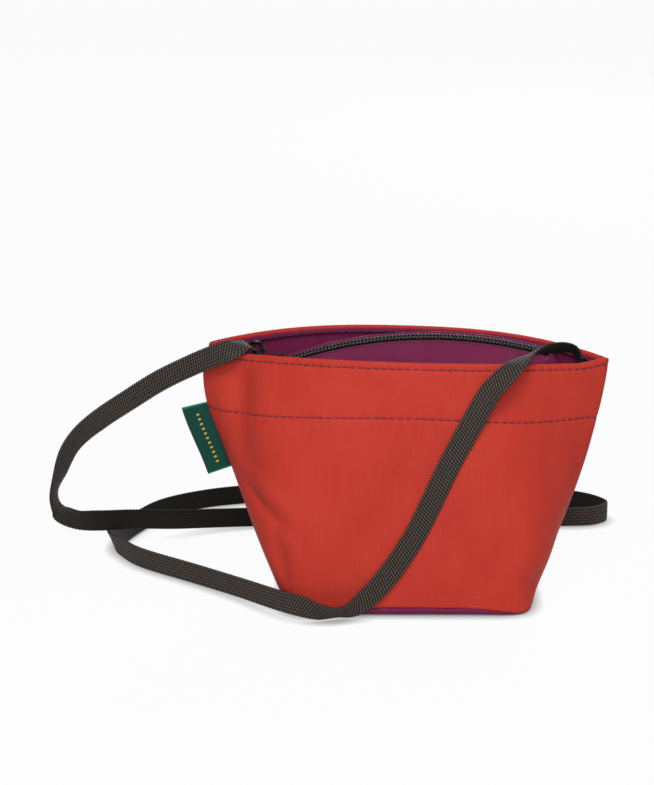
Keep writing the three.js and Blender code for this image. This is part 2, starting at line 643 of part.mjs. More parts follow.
// Strap route: points on its middle line, each with the direction of its width
const STRAP_ROUTE = [
  [[-94.6, 9.0, 115.0], [0.09, 1.0, 0.0]],
  [[-94.0, 9.5, 123.0], [0.09, 1.0, 0.0]],
  [[-90.8, 11.0, 130.0], [0.05, 1.0, -0.05]],
  [[-86.2, 12.0, 133.6], [0.0, 0.98, -0.15]],
  [[-81.4, 10.0, 135.6], [0.0, 0.97, -0.22]],
  [[-78.0, 7.5, 133.8], [0.0, 0.97, -0.22]],
  [[-79.4, 5.2, 131.4], [0.0, 0.97, -0.2]],
  [[-83.2, 3.6, 134.6], [0.0, 0.98, -0.22]],
  [[-87.3, -0.1, 137.3], [0.0, 0.99, 0.0]],
  [[-91.6, -4.2, 136.6], [-0.05, 0.8, 0.57]],
  [[-96.6, -5.0, 135.0], [-0.15, 0.42, 0.88]],
  [[-103.2, -1.6, 131.4], [-0.3, 0.12, 0.93]],
  [[-114.0, 4.6, 125.2], [-0.45, 0.0, 0.89]],
  [[-132.7, 12.0, 114.0], [-0.5, 0.0, 0.87]],
  [[-150.0, 20.0, 101.0], [-0.53, 0.0, 0.85]],
  [[-167.8, 32.0, 86.0], [-0.6, -0.1, 0.8]],
  [[-180.7, 45.0, 72.0], [-0.7, -0.4, 0.6]],
  [[-188.5, 54.0, 60.0], [-0.65, -0.65, 0.4]],
  [[-195.3, 65.0, 42.0], [-0.5, -0.85, 0.15]],
  [[-200.3, 74.0, 25.5], [-0.25, -0.93, -0.25]],
  [[-198.5, 76.5, 16.5], [-0.15, -0.88, -0.45]],
  [[-188.0, 69.0, 13.8], [-0.08, -0.75, -0.65]],
  [[-173.5, 65.3, 14.4], [0.0, -0.3, -0.95]],
  [[-156.4, 66.1, 15.0], [0.0, 0.0, -1.0]],
  [[-134.0, 75.0, 11.5], [0.0, 0.0, -1.0]],
  [[-117.4, 84.2, 8.5], [0.0, 0.0, -1.0]],
  [[-88.6, 92.6, 6.4], [0.0, 0.0, -1.0]],
  [[-40.0, 95.0, 6.3], [0.0, 0.0, -1.0]],
  [[30.0, 95.0, 6.3], [0.0, 0.0, -1.0]],
  [[99.0, 93.4, 6.3], [0.0, 0.0, -1.0]],
  [[114.0, 96.0, 6.3], [0.0, 0.0, -1.0]],
  [[121.5, 104.0, 6.3], [0.0, 0.0, -1.0]],
  [[117.0, 113.0, 6.3], [0.0, 0.0, -1.0]],
  [[105.0, 121.8, 6.3], [0.0, 0.0, -1.0]],
  [[60.0, 134.0, 6.3], [0.0, 0.0, -1.0]],
  [[0.0, 140.0, 6.3], [0.0, 0.0, -1.0]],
  [[-60.0, 138.0, 6.3], [0.0, 0.0, -1.0]],
  [[-99.0, 130.6, 6.3], [0.0, 0.0, -1.0]],
  [[-119.6, 122.7, 6.3], [0.0, 0.0, -1.0]],
  [[-142.3, 105.3, 6.1], [0.2, -0.3, -0.9]],
  [[-156.0, 84.0, 4.7], [0.6, -0.45, -0.55]],
  [[-163.0, 68.0, 4.3], [0.75, -0.35, -0.5]],
  [[-165.6, 56.3, 6.0], [0.4, -0.1, -0.85]],
  [[-157.2, 41.2, 6.3], [0.05, 0.0, -1.0]],
  [[-147.7, 29.0, 6.3], [0.0, 0.0, -1.0]],
  [[-112.7, 2.0, 6.3], [0.0, 0.0, -1.0]],
  [[-90.2, -17.0, 6.8], [0.0, 0.0, -1.0]],
  [[-69.0, -38.0, 8.2], [-0.1, 0.0, -1.0]],
  [[-57.5, -46.0, 8.2], [-0.15, 0.0, -1.0]],
  [[-47.0, -49.2, 6.2], [-0.1, 0.45, -0.9]],
  [[-37.5, -48.4, 5.7], [0.1, 0.7, -0.7]],
  [[-29.0, -46.0, 7.4], [0.5, 0.4, -0.75]],
  [[-21.5, -44.0, 12.8], [0.75, 0.1, -0.65]],
  [[-12.3, -42.6, 23.0], [0.83, 0.0, -0.55]],
  [[0.7, -42.6, 43.5], [0.87, 0.0, -0.5]],
  [[11.0, -43.2, 65.8], [0.88, 0.0, -0.47]],
  [[18.0, -43.6, 82.3], [0.88, 0.0, -0.47]],
  [[29.9, -43.4, 106.4], [0.87, -0.12, -0.5]],
  [[39.2, -43.6, 124.1], [0.75, -0.47, -0.46]],
  [[43.3, -43.8, 129.2], [0.64, -0.6, -0.48]],
  [[47.6, -43.0, 133.6], [0.6, -0.7, -0.38]],
  [[52.2, -40.2, 137.5], [0.66, -0.72, -0.1]],
  [[56.4, -34.5, 139.4], [0.68, -0.62, 0.25]],
  [[63.1, -26.5, 140.8], [0.55, -0.62, 0.55]],
  [[69.6, -20.0, 140.7], [0.3, -0.7, 0.62]],
  [[77.4, -15.5, 139.9], [0.15, -0.72, 0.66]],
  [[83.5, -12.5, 137.8], [0.1, -0.82, 0.55]],
  [[87.4, -10.4, 132.8], [0.0, -0.97, 0.2]],
  [[87.0, -9.6, 124.4], [-0.09, -1.0, 0.0]],
  [[87.3, -9.0, 115.0], [-0.09, -1.0, 0.0]],
];

function strapSolid() {
  const middle = new THREE.CatmullRomCurve3(STRAP_ROUTE.map(([p]) => vec(...p)), false, 'centripetal');
  const width = new THREE.CatmullRomCurve3(STRAP_ROUTE.map(([, w]) => vec(...w)), false, 'catmullrom');
  middle.arcLengthDivisions = 1200;
  const rings = [];
  for (let k = 0; k <= STRAP_STEPS; k += 1) {
    const t = middle.getUtoTmapping(k / STRAP_STEPS);
    const run = middle.getTangent(t);
    const across = width.getPoint(t);
    across.addScaledVector(run, -across.dot(run)).normalize().multiplyScalar(STRAP_WIDTH / 2);
    const through = run.clone().cross(across).normalize().multiplyScalar(STRAP_THICKNESS / 2);
    const p = middle.getPoint(t);
    rings.push([[1, 1], [1, -1], [-1, -1], [-1, 1]].map(([a, b]) =>
      p.clone().addScaledVector(across, a).addScaledVector(through, b)));
  }
  return loft(rings);
}

// Assembly
for (const [name, side] of SIDES) {
  addPiece(`${name}_panel`, panel(side), RED_FABRIC);
  addPiece(`${name}_facing`, facing(side), PLUM_FABRIC);
  addPiece(`${name}_zip_strip`, zipStrip(side), PLUM_FABRIC);
  addPiece(`${name}_zip_tape`, zipTape(side), BLACK_TAPE);
  addPiece(`${name}_zip_teeth`, toothRow(side), BLACK_NYLON);
  const stopStart = neckAngle - arcAngle(NECK_LENGTH + CLEARANCE);
  const stopEnd = stopStart - arcAngle(STOP_LENGTH);
  const stopInner = -side * (NECK_WIDTH / 2 + CLEARANCE);
  const stop = zipBlock(stopStart, stopEnd, stopInner, -side * TOP_STOP_REACH, chainLift, chainTop);
  addPiece(`${name}_top_stop`, stop, BLACK_METAL);
}
addPiece('base_panel', basePanel(), PLUM_FABRIC);
const bottomStopStart = zipRight - arcAngle(STOP_LENGTH);
const bottomStop = zipBlock(bottomStopStart, zipRight, CHAIN_WIDTH / 2, -CHAIN_WIDTH / 2, chainLift, chainTop);
addPiece('zip_bottom_stop', bottomStop, BLACK_METAL);
for (const [name, end] of ENDS) {
  addPiece(`${name}_seam_binding`, seamBinding(end), PLUM_FABRIC);
  addPiece(`${name}_end_tab`, endTab(end), PLUM_FABRIC);
  addPiece(`${name}_strap_tack`, strapTack(end), BLACK_WEBBING);
}
placeOnZip(addPiece('zip_slider', sliderBody(), BLACK_METAL), sliderAngle);
placeOnZip(addPiece('slider_pull', sliderPull(), BLACK_METAL), sliderAngle);
addPiece('side_label', sideLabel(), GREEN_WEAVE);
addPiece('strap', strapSolid(), BLACK_WEBBING);

export default bag;
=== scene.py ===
import math

import bmesh
import bpy
import numpy as np
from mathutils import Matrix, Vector


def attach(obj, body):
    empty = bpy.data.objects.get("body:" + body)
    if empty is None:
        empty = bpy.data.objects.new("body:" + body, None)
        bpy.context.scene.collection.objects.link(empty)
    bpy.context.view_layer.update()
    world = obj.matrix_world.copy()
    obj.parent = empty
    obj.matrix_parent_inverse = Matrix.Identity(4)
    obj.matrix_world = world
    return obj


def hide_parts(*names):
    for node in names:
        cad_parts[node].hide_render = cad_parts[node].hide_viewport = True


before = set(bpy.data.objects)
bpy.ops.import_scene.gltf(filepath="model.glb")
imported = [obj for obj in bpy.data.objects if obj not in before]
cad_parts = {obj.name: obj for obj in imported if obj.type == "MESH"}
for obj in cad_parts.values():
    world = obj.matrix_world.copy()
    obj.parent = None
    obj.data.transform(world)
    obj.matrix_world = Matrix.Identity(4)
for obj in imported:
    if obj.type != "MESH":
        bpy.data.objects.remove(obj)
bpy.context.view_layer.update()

# Small soft crossbody bag: red coated cloth outside, plum cloth inside, a curved coil zip, black webbing.
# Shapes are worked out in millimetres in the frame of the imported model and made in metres.
MM = 0.001
scene = bpy.context.scene
scene.view_settings.view_transform = "Standard"

# Camera: straight before the bag and 17 degrees above it
CAMERA_ELEVATION = 17
camera_data = bpy.data.cameras.new("camera")
camera_data.lens = 96.8
camera_data.sensor_width = 36
camera = bpy.data.objects.new("camera", camera_data)
camera.location = (-0.0435, -1.0687, 0.4377)
camera.rotation_euler = (math.radians(90 - CAMERA_ELEVATION), 0, 0)
scene.collection.objects.link(camera)
scene.camera = camera

# Sizes that a material and a shape share
STRAP_WIDTH, STRAP_RIBS = 12.0, 7
LABEL_LENGTH, LABEL_REACH = 36.0, 13.6

# The Mix node, and its sockets for mixing colours
MIX = "ShaderNodeMix"
SHARE, FIRST, SECOND, MIXED = 0, 6, 7, 2


def linear(hex_colour):
    """An sRGB hex colour in linear light"""
    values = [int(hex_colour[k:k + 2], 16) / 255 for k in (1, 3, 5)]
    return tuple(v / 12.92 if v <= 0.04045 else ((v + 0.055) / 1.055) ** 2.4 for v in values) + (1.0,)


def wire(tree, node, inputs):
    """Sets a node's inputs, in order or by name, to values, hex colours or links from other nodes"""
    for key, value in inputs.items() if isinstance(inputs, dict) else enumerate(inputs):
        if isinstance(value, bpy.types.NodeSocket):
            tree.links.new(value, node.inputs[key])
        else:
            is_colour = isinstance(value, str) and value.startswith("#")
            node.inputs[key].default_value = linear(value) if is_colour else value


def add(tree, kind, inputs=(), output=0, **settings):
    """Adds a node with its settings and links and gives an output; capitals name a maths node's operation"""
    node = tree.nodes.new("ShaderNodeMath" if kind.isupper() else kind)
    if kind.isupper():
        node.operation = kind
    for key, value in settings.items():
        setattr(node, key, value)
    wire(tree, node, inputs)
    return node.outputs[output]


def uneven(tree, place, cells, detail=2.0, roughness=0.5):
    """Cloudy pattern with so many cells to a unit of place along each axis"""
    stretched = add(tree, "ShaderNodeMapping", {"Vector": place, "Scale": cells}, "Vector")
    return add(tree, "ShaderNodeTexNoise", {
        "Vector": stretched, "Scale": 1.0, "Detail": detail, "Roughness": roughness}, "Fac")


def surface(name):
    """A new material and its tree"""
    material = bpy.data.materials.new(name)
    material.use_nodes = True
    return material, material.node_tree


def finish(tree, colour, roughness, height, depth, others):
    """Sets a material's colour, roughness, relief of so many millimetres, and other inputs of its shader"""
    shader = tree.nodes["Principled BSDF"]
    normal = add(tree, "ShaderNodeBump", {"Height": height, "Distance": depth * MM}, "Normal")
    wire(tree, shader, {"Base Color": colour, "Roughness": roughness, "Normal": normal, **others})
    return shader


def cloth_place(tree):
    """Cloth coordinates in millimetres: both together, then across and along the cloth"""
    place = add(tree, "ShaderNodeUVMap", output="UV", uv_map="cloth")
    across = add(tree, "ShaderNodeSeparateXYZ", (place,), "X")
    return place, across, across.node.outputs["Y"]


def waves_along(tree, *runs):
    """A sine wave for each run and wavelength"""
    phases = [add(tree, "MULTIPLY", (run, 2 * math.pi / length)) for run, length in runs]
    return [add(tree, "SINE", (phase,)) for phase in phases]


# Materials. Cloudy patterns are given as cells per millimetre: 1.1 makes slubs 0.9 mm wide
def coated_cloth(name, lit, deep, thread, sheen, gloss):
    """Plain-woven polyamide with a thin coat: matt and even, with a faint grid and long slubs in its colour.

    Its real threads, 0.25 mm apart, are too fine to show, so they are drawn thread millimetres apart.
    """
    material, tree = surface(name)
    place, u, v = cloth_place(tree)
    waves = waves_along(tree, (u, 2 * thread), (v, 2 * thread))
    crossing = add(tree, "MULTIPLY", waves)
    over = add(tree, "MULTIPLY_ADD", (crossing, 0.5, 0.5))
    warp, weft = (add(tree, "ABSOLUTE", (wave,)) for wave in waves)
    threads = add(tree, MIX, {"Factor": over, "A": warp, "B": weft})
    slubs = uneven(tree, place, (1.1, 0.035, 1.0), 3.0, 0.6)
    picks = uneven(tree, place, (0.05, 1.3, 1.0), 2.0, 0.6)
    mottle = uneven(tree, place, (0.045, 0.03, 1.0))
    grain = uneven(tree, place, (2.1, 2.1, 1.0), 1.0)
    tone = add(tree, "MULTIPLY", (threads, 0.2))
    for part, weight in ((slubs, 0.24), (picks, 0.12), (mottle, 0.3), (grain, 0.2)):
        tone = add(tree, "MULTIPLY_ADD", (part, weight, tone))
    tone = add(tree, "MULTIPLY_ADD", (tone, 1.9, -0.5), use_clamp=True)
    colour = add(tree, MIX, {SHARE: tone, FIRST: deep, SECOND: lit}, MIXED, data_type="RGBA")
    ridges = add(tree, "MULTIPLY", (threads, 0.7))
    height = add(tree, "MULTIPLY_ADD", (slubs, 0.8, ridges))
    rough = add(tree, "MULTIPLY_ADD", (grain, 0.16, gloss))
    finish(tree, colour, rough, height, 0.06, {
        "Specular IOR Level": 0.1, "Sheen Weight": sheen, "Sheen Roughness": 0.45, "Sheen Tint": lit})
    return material


def webbing(name):
    """Woven polyamide strap: ribs of slanted yarns set in brick order, matt, with a painted highlight on the
    yarns' crests over near-black gaps, and painted shade where the strap lies in shadow.

    Real yarns, about 0.8 mm wide, are too fine to show, so they are drawn twice as coarse.
    """
    material, tree = surface(name)
    place, u, v = cloth_place(tree)
    rib, yarn = STRAP_WIDTH / STRAP_RIBS, 1.6
    column = add(tree, "DIVIDE", (u, rib))
    across = add(tree, "FRACT", (column,))
    number = add(tree, "FLOOR", (column,))
    step = add(tree, "MULTIPLY", (number, 0.5))
    slant = add(tree, "MULTIPLY_ADD", (across, 0.75, step))
    row = add(tree, "DIVIDE", (v, yarn))
    along = add(tree, "ADD", (row, slant))
    phase = add(tree, "MULTIPLY", (along, 2 * math.pi))
    wave = add(tree, "COSINE", (phase,))
    swell = add(tree, "MULTIPLY_ADD", (wave, 0.5, 0.5))
    crown, = waves_along(tree, (across, 2.0))
    broad = add(tree, "POWER", (crown, 0.6))
    height = add(tree, "MULTIPLY", (broad, swell))
    fuzz = uneven(tree, place, (1.7, 1.7, 1.0), 3.0, 0.65)
    wear = uneven(tree, place, (0.12, 0.02, 1.0))
    # Painted highlight: the yarns' crests take a lighter grey than the black strap has, standing for the
    # gleam of its yarns
    crest_highlight = add(tree, "POWER", (height, 1.4))
    hairy = add(tree, "MULTIPLY_ADD", (fuzz, 0.9, 0.45))
    share = add(tree, "MULTIPLY", (crest_highlight, hairy))
    share = add(tree, "MINIMUM", (share, 1.0))
    # Painted shade: where the strap's mesh marks it, the yarns take a near-black colour instead of the
    # highlight grey, for parts of the strap that lie in shadow
    shade = add(tree, "ShaderNodeAttribute", output="Fac", attribute_name="painted_shade")
    gaps = add(tree, MIX, {SHARE: wear, FIRST: "#0a0808", SECOND: "#15110f"}, MIXED, data_type="RGBA")
    yarn_highlight_and_shade = add(tree, MIX, {SHARE: shade, FIRST: "#6f655c", SECOND: "#1c1816"}, MIXED, data_type="RGBA")
    colour = add(tree, MIX, {SHARE: share, FIRST: gaps, SECOND: yarn_highlight_and_shade}, MIXED, data_type="RGBA")
    finish(tree, colour, 0.62, height, 0.32, {
        "Specular IOR Level": 0.12, "Sheen Weight": 0.03, "Sheen Roughness": 0.5})
    return material


def twill_tape(name):
    """Zip tape of polyester twill: dull black, in chevrons that are drawn coarser than real ones to show"""
    material, tree = surface(name)
    place, u, v = cloth_place(tree)
    half_chevron, twill = 0.8, 0.6
    zigzag = add(tree, "PINGPONG", (u, half_chevron))
    slant = add(tree, "ADD", (v, zigzag))
    wave, = waves_along(tree, (slant, twill))
    fuzz = uneven(tree, place, (2.0, 2.0, 1.0))
    share = add(tree, "MULTIPLY_ADD", (wave, 0.25, fuzz))
    colour = add(tree, MIX, {SHARE: share, FIRST: "#0d0c0c", SECOND: "#2b2829"}, MIXED, data_type="RGBA")
    finish(tree, colour, 0.8, wave, 0.05, {"Specular IOR Level": 0.25})
    return material


def label_weave(name):
    """Green woven polyester tab: fine and slightly silky, with brighter turned edges at its short ends.

    Its picks and ribs are drawn at 0.42 and 0.55 mm, about twice as coarse as real ones, so that they show.
    """
    material, tree = surface(name)
    place, u, v = cloth_place(tree)
    turned_edge = 1.1
    crossing = add(tree, "MULTIPLY", waves_along(tree, (v, 0.42), (u, 0.55)))
    weave = add(tree, "MULTIPLY_ADD", (crossing, 0.5, 0.5))
    fuzz = uneven(tree, place, (1.2, 1.2, 1.0), 3.0, 0.6)
    from_top = add(tree, "SUBTRACT", (LABEL_LENGTH, v))
    from_end = add(tree, "MINIMUM", (v, from_top))
    inwards = add(tree, "DIVIDE", (from_end, turned_edge), use_clamp=True)
    edge = add(tree, "SUBTRACT", (1.0, inwards))
    bright = add(tree, "MULTIPLY", (edge, 0.85))
    soft = add(tree, "MULTIPLY", (fuzz, 0.8))
    tone = add(tree, "MULTIPLY_ADD", (weave, 0.35, soft))
    ground = add(tree, MIX, {SHARE: tone, FIRST: "#052d26", SECOND: "#10483e"}, MIXED, data_type="RGBA")
    colour = add(tree, MIX, {SHARE: bright, FIRST: ground, SECOND: "#129463"}, MIXED, data_type="RGBA")
    finish(tree, colour, 0.6, weave, 0.06, {
        "Specular IOR Level": 0.12, "Sheen Weight": 0.04, "Sheen Roughness": 0.4})
    return material


def solid_finish(name, dark, light, grain_mm, roughness, depth_mm, others):
    """Thread, nylon or painted metal: an even tone broken by fine grain in the object's own space"""
    material, tree = surface(name)
    place = add(tree, "ShaderNodeTexCoord", output="Object")
    density = 1 / (grain_mm * MM)
    grain = uneven(tree, place, (density,) * 3, 3.0, 0.6)
    colour = add(tree, MIX, {SHARE: grain, FIRST: dark, SECOND: light}, MIXED, data_type="RGBA")
    rough = add(tree, "MULTIPLY_ADD", (grain, 0.2, roughness - 0.1))
    finish(tree, colour, rough, grain, depth_mm, others)
    return material


# Dry, strongly coloured cloth, the plum a little duller than the red
RED_CLOTH = coated_cloth("red_coated_cloth", "#c94132", "#ac2d26", 0.46, 0.02, 0.52)
PLUM_CLOTH = coated_cloth("plum_coated_cloth", "#7f2a51", "#641d40", 0.42, 0.01, 0.6)
# Dull blacks and a deep green that show their weave
STRAP_WEBBING = webbing("black_webbing")
ZIP_TAPE = twill_tape("black_zip_tape")
GREEN_WEAVE = label_weave("green_woven_label")
# Twisted polyester thread: soft highlights and a mottled tone
THREAD_SHINE = {"Specular IOR Level": 0.4}
PURPLE_THREAD = solid_finish("purple_thread", "#330f25", "#602046", 0.25, 0.6, 0.05, THREAD_SHINE)
YELLOW_THREAD = solid_finish("yellow_thread", "#b98d16", "#e2bd35", 0.25, 0.55, 0.05, THREAD_SHINE)
# Extruded nylon filament with small glints, and paint on cast metal with broader ones
NYLON_SHINE = {"Specular IOR Level": 0.5}
ZIP_NYLON = solid_finish("black_zip_nylon", "#060708", "#141819", 0.5, 0.3, 0.01, NYLON_SHINE)
BLACK_METAL = solid_finish("black_painted_metal", "#121214", "#26262a", 0.7, 0.34, 0.01, {"Metallic": 0.55})


# Meshes
def faces_of(rows, columns, closed_rows=False, closed_columns=False):
    """Quads of a grid of points, with or without a join from its last row or column to its first"""
    r = np.arange(rows if closed_rows else rows - 1)[:, None]
    c = np.arange(columns if closed_columns else columns - 1)[None, :]
    next_r, next_c = (r + 1) % rows, (c + 1) % columns
    corners = (r * columns + c, r * columns + next_c, next_r * columns + next_c, next_r * columns + c)
    return np.stack(np.broadcast_arrays(*corners), -1).reshape(-1, 4).tolist()


def cloth_faces(rows, columns):
    """Faces of a cloth whose columns run round its section, with its two ends closed"""
    ends = [[r * columns + c for r in range(rows)] for c in (0, columns - 1)]
    return faces_of(rows, columns, closed_rows=True) + ends


def tube_faces(rows, columns):
    """Faces of a tube whose rows are its rings, with its two ends closed"""
    ends = [list(range(columns))[::-1], list(range((rows - 1) * columns, rows * columns))]
    return faces_of(rows, columns, closed_columns=True) + ends


def lay_cloth(mesh, points):
    """Gives a mesh its cloth coordinates, in millimetres, from those of its points"""
    layer = mesh.uv_layers.get("cloth") or mesh.uv_layers.new(name="cloth")
    corner = np.empty(len(mesh.loops), dtype=np.int32)
    mesh.loops.foreach_get("vertex_index", corner)
    layer.data.foreach_set("uv", np.asarray(points, dtype=np.float32).reshape(-1, 2)[corner].ravel())


def place_piece(piece, body="shell", nodes=()):
    """Sets a piece on the body that it rides, for the solids that it shows"""
    if piece.name not in scene.collection.objects:
        scene.collection.objects.link(piece)
    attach(piece, body)
    if nodes:
        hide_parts(*nodes)
    return piece


def make_piece(name, points, faces, material, uv, node):
    """A smooth mesh from points in millimetres, which rides on the shell and stands for a solid"""
    mesh = bpy.data.meshes.new(name)
    mesh.from_pydata((np.asarray(points).reshape(-1, 3) * MM).tolist(), [], faces)
    lay_cloth(mesh, uv)
    shell = bmesh.new()
    shell.from_mesh(mesh)
    bmesh.ops.recalc_face_normals(shell, faces=shell.faces)
    shell.to_mesh(mesh)
    shell.free()
    mesh.shade_smooth()
    mesh.materials.append(material)
    return place_piece(bpy.data.objects.new(name, mesh), nodes=(node,))


def make_cloth(node, points, run, material):
    """A closed cloth with coordinates from its width in the frame and its run round the section"""
    uv = np.stack(np.broadcast_arrays(points[..., 0], run[:, None]), -1)
    return make_piece(node + "_cloth", points, cloth_faces(*points.shape[:2]), material, uv, node)


def plain_mesh(piece):
    """Turns a piece's modifiers into its mesh"""
    graph = bpy.context.evaluated_depsgraph_get()
    mesh = bpy.data.meshes.new_from_object(piece.evaluated_get(graph))
    piece.modifiers.clear()
    piece.data = mesh
    return piece


def unit(vectors):
    return vectors / np.maximum(np.linalg.norm(vectors, axis=-1, keepdims=True), 1e-9)


def smooth(low, high, value):
    """Rises from 0 at low to 1 at high, with soft ends"""
    t = np.clip((value - low) / (high - low), 0, 1)
    return t * t * (3 - 2 * t)


def run_along(points):
    """Distance along a line of points from its first"""
    return np.concatenate([[0], np.cumsum(np.linalg.norm(np.diff(points, axis=0), axis=1))])


# Strap: its thickness in millimetres, its length in metres and the fineness of its mesh
STRAP_THICKNESS, STRAP_LENGTH = 1.4, 1.305
STRAP_STEP, STRAP_SIDES, SPLINE_STEPS = 0.42, 18, 40
# Loops of yarn along both edges, and powers that round the section's edges and faces
EDGE_LOOP, EDGE_LOOP_PITCH, EDGE_MARGIN = 0.18, 1.6, 0.15
EDGE_POWER, FACE_POWER = 0.34, 0.55
# Runs in millimetres along the strap that get painted shade, each with the run over which it comes in:
# between the flip runs the other face is painted dark, and the end sewn into the left corner and the fold on
# the floor are painted dark on both faces, where the strap lies in shadow
SHADE_FLIP_RUNS, SHADE_FLIP_FADE = (252.0, 445.0), 30.0
SHADED_END, SHADED_END_FADE = 42.0, 6.0
SHADED_FOLD, SHADED_FOLD_FADE = (850.0, 910.0), 9.0
# Points on the strap's middle line in metres, each with the direction of its width
STRAP_ROUTE = (
    ((-0.0946, 0.0090, 0.1150), (0.09, 1, 0)),
    ((-0.0940, 0.0095, 0.1230), (0.09, 1, 0)),
    ((-0.0908, 0.0110, 0.1300), (0.05, 1, -0.05)),
    ((-0.0862, 0.0120, 0.1336), (0, 0.98, -0.15)),
    ((-0.0814, 0.0100, 0.1356), (0, 0.97, -0.22)),
    ((-0.0780, 0.0075, 0.1338), (0, 0.97, -0.22)),
    ((-0.0794, 0.0052, 0.1314), (0, 0.97, -0.2)),
    ((-0.0832, 0.0036, 0.1346), (0, 0.98, -0.22)),
    ((-0.0873, -0.0001, 0.1373), (0, 0.99, 0)),
    ((-0.0916, -0.0042, 0.1366), (-0.05, 0.8, 0.57)),
    ((-0.0966, -0.0050, 0.1350), (-0.15, 0.42, 0.88)),
    ((-0.1032, -0.0016, 0.1314), (-0.3, 0.12, 0.93)),
    ((-0.1140, 0.0046, 0.1252), (-0.45, 0, 0.89)),
    ((-0.1327, 0.0120, 0.1140), (-0.5, 0, 0.87)),
    ((-0.1500, 0.0200, 0.1010), (-0.53, 0, 0.85)),
    ((-0.1678, 0.0320, 0.0860), (-0.6, -0.1, 0.8)),
    ((-0.1807, 0.0450, 0.0720), (-0.7, -0.4, 0.6)),
    ((-0.1885, 0.0540, 0.0600), (-0.65, -0.65, 0.4)),
    ((-0.1953, 0.0650, 0.0420), (-0.5, -0.85, 0.15)),
    ((-0.2003, 0.0740, 0.0255), (-0.25, -0.93, -0.25)),
    ((-0.1985, 0.0765, 0.0165), (-0.15, -0.88, -0.45)),
    ((-0.1880, 0.0690, 0.0138), (-0.08, -0.75, -0.65)),
    ((-0.1735, 0.0653, 0.0144), (0, -0.3, -0.95)),
    ((-0.1564, 0.0661, 0.0150), (0, 0, -1)),
    ((-0.1340, 0.0750, 0.0115), (0, 0, -1)),
    ((-0.1174, 0.0842, 0.0085), (0, 0, -1)),
    ((-0.0886, 0.0926, 0.0064), (0, 0, -1)),
    ((-0.0400, 0.0950, 0.0063), (0, 0, -1)),
    ((0.0300, 0.0950, 0.0063), (0, 0, -1)),
    ((0.0990, 0.0934, 0.0063), (0, 0, -1)),
    ((0.1140, 0.0960, 0.0063), (0, 0, -1)),
    ((0.1215, 0.1040, 0.0063), (0, 0, -1)),
    ((0.1170, 0.1130, 0.0063), (0, 0, -1)),
    ((0.1050, 0.1218, 0.0063), (0, 0, -1)),
    ((0.0600, 0.1340, 0.0063), (0, 0, -1)),
    ((0.0000, 0.1400, 0.0063), (0, 0, -1)),
    ((-0.0600, 0.1380, 0.0063), (0, 0, -1)),
    ((-0.0990, 0.1306, 0.0063), (0, 0, -1)),
    ((-0.1196, 0.1227, 0.0063), (0, 0, -1)),
    ((-0.1423, 0.1053, 0.0061), (0.2, -0.3, -0.9)),
    ((-0.1560, 0.0840, 0.0047), (0.6, -0.45, -0.55)),
    ((-0.1630, 0.0680, 0.0043), (0.75, -0.35, -0.5)),
    ((-0.1656, 0.0563, 0.0060), (0.4, -0.1, -0.85)),
    ((-0.1572, 0.0412, 0.0063), (0.05, 0, -1)),
    ((-0.1477, 0.0290, 0.0063), (0, 0, -1)),
    ((-0.1127, 0.0020, 0.0063), (0, 0, -1)),
    ((-0.0902, -0.0170, 0.0068), (0, 0, -1)),
    ((-0.0690, -0.0380, 0.0082), (-0.1, 0, -1)),
    ((-0.0575, -0.0460, 0.0082), (-0.15, 0, -1)),
    ((-0.0470, -0.0492, 0.0062), (-0.1, 0.45, -0.9)),
    ((-0.0375, -0.0484, 0.0057), (0.1, 0.7, -0.7)),
    ((-0.0290, -0.0460, 0.0074), (0.5, 0.4, -0.75)),
    ((-0.0215, -0.0440, 0.0128), (0.75, 0.1, -0.65)),
    ((-0.0123, -0.0426, 0.0230), (0.83, 0, -0.55)),
    ((0.0007, -0.0426, 0.0435), (0.87, 0, -0.5)),
    ((0.0110, -0.0432, 0.0658), (0.88, 0, -0.47)),
    ((0.0180, -0.0436, 0.0823), (0.88, 0, -0.47)),
    ((0.0299, -0.0434, 0.1064), (0.87, -0.12, -0.5)),
    ((0.0392, -0.0436, 0.1241), (0.75, -0.47, -0.46)),
    ((0.0433, -0.0438, 0.1292), (0.64, -0.6, -0.48)),
    ((0.0476, -0.0430, 0.1336), (0.6, -0.7, -0.38)),
    ((0.0522, -0.0402, 0.1375), (0.66, -0.72, -0.1)),
    ((0.0564, -0.0345, 0.1394), (0.68, -0.62, 0.25)),
    ((0.0631, -0.0265, 0.1408), (0.55, -0.62, 0.55)),
    ((0.0696, -0.0200, 0.1407), (0.3, -0.7, 0.62)),
    ((0.0774, -0.0155, 0.1399), (0.15, -0.72, 0.66)),
    ((0.0835, -0.0125, 0.1378), (0.1, -0.82, 0.55)),
    ((0.0874, -0.0104, 0.1328), (0, -0.97, 0.2)),
    ((0.0870, -0.0096, 0.1244), (-0.09, -1, 0)),
    ((0.0873, -0.0090, 0.1150), (-0.09, -1, 0)),
)


def hermite(a, b, leave, arrive, t):
    """A cubic from a to b with given speeds at both ends"""
    return ((2 * t ** 3 - 3 * t ** 2 + 1) * a + (t ** 3 - 2 * t ** 2 + t) * leave
            + (3 * t ** 2 - 2 * t ** 3) * b + (t ** 3 - t ** 2) * arrive)


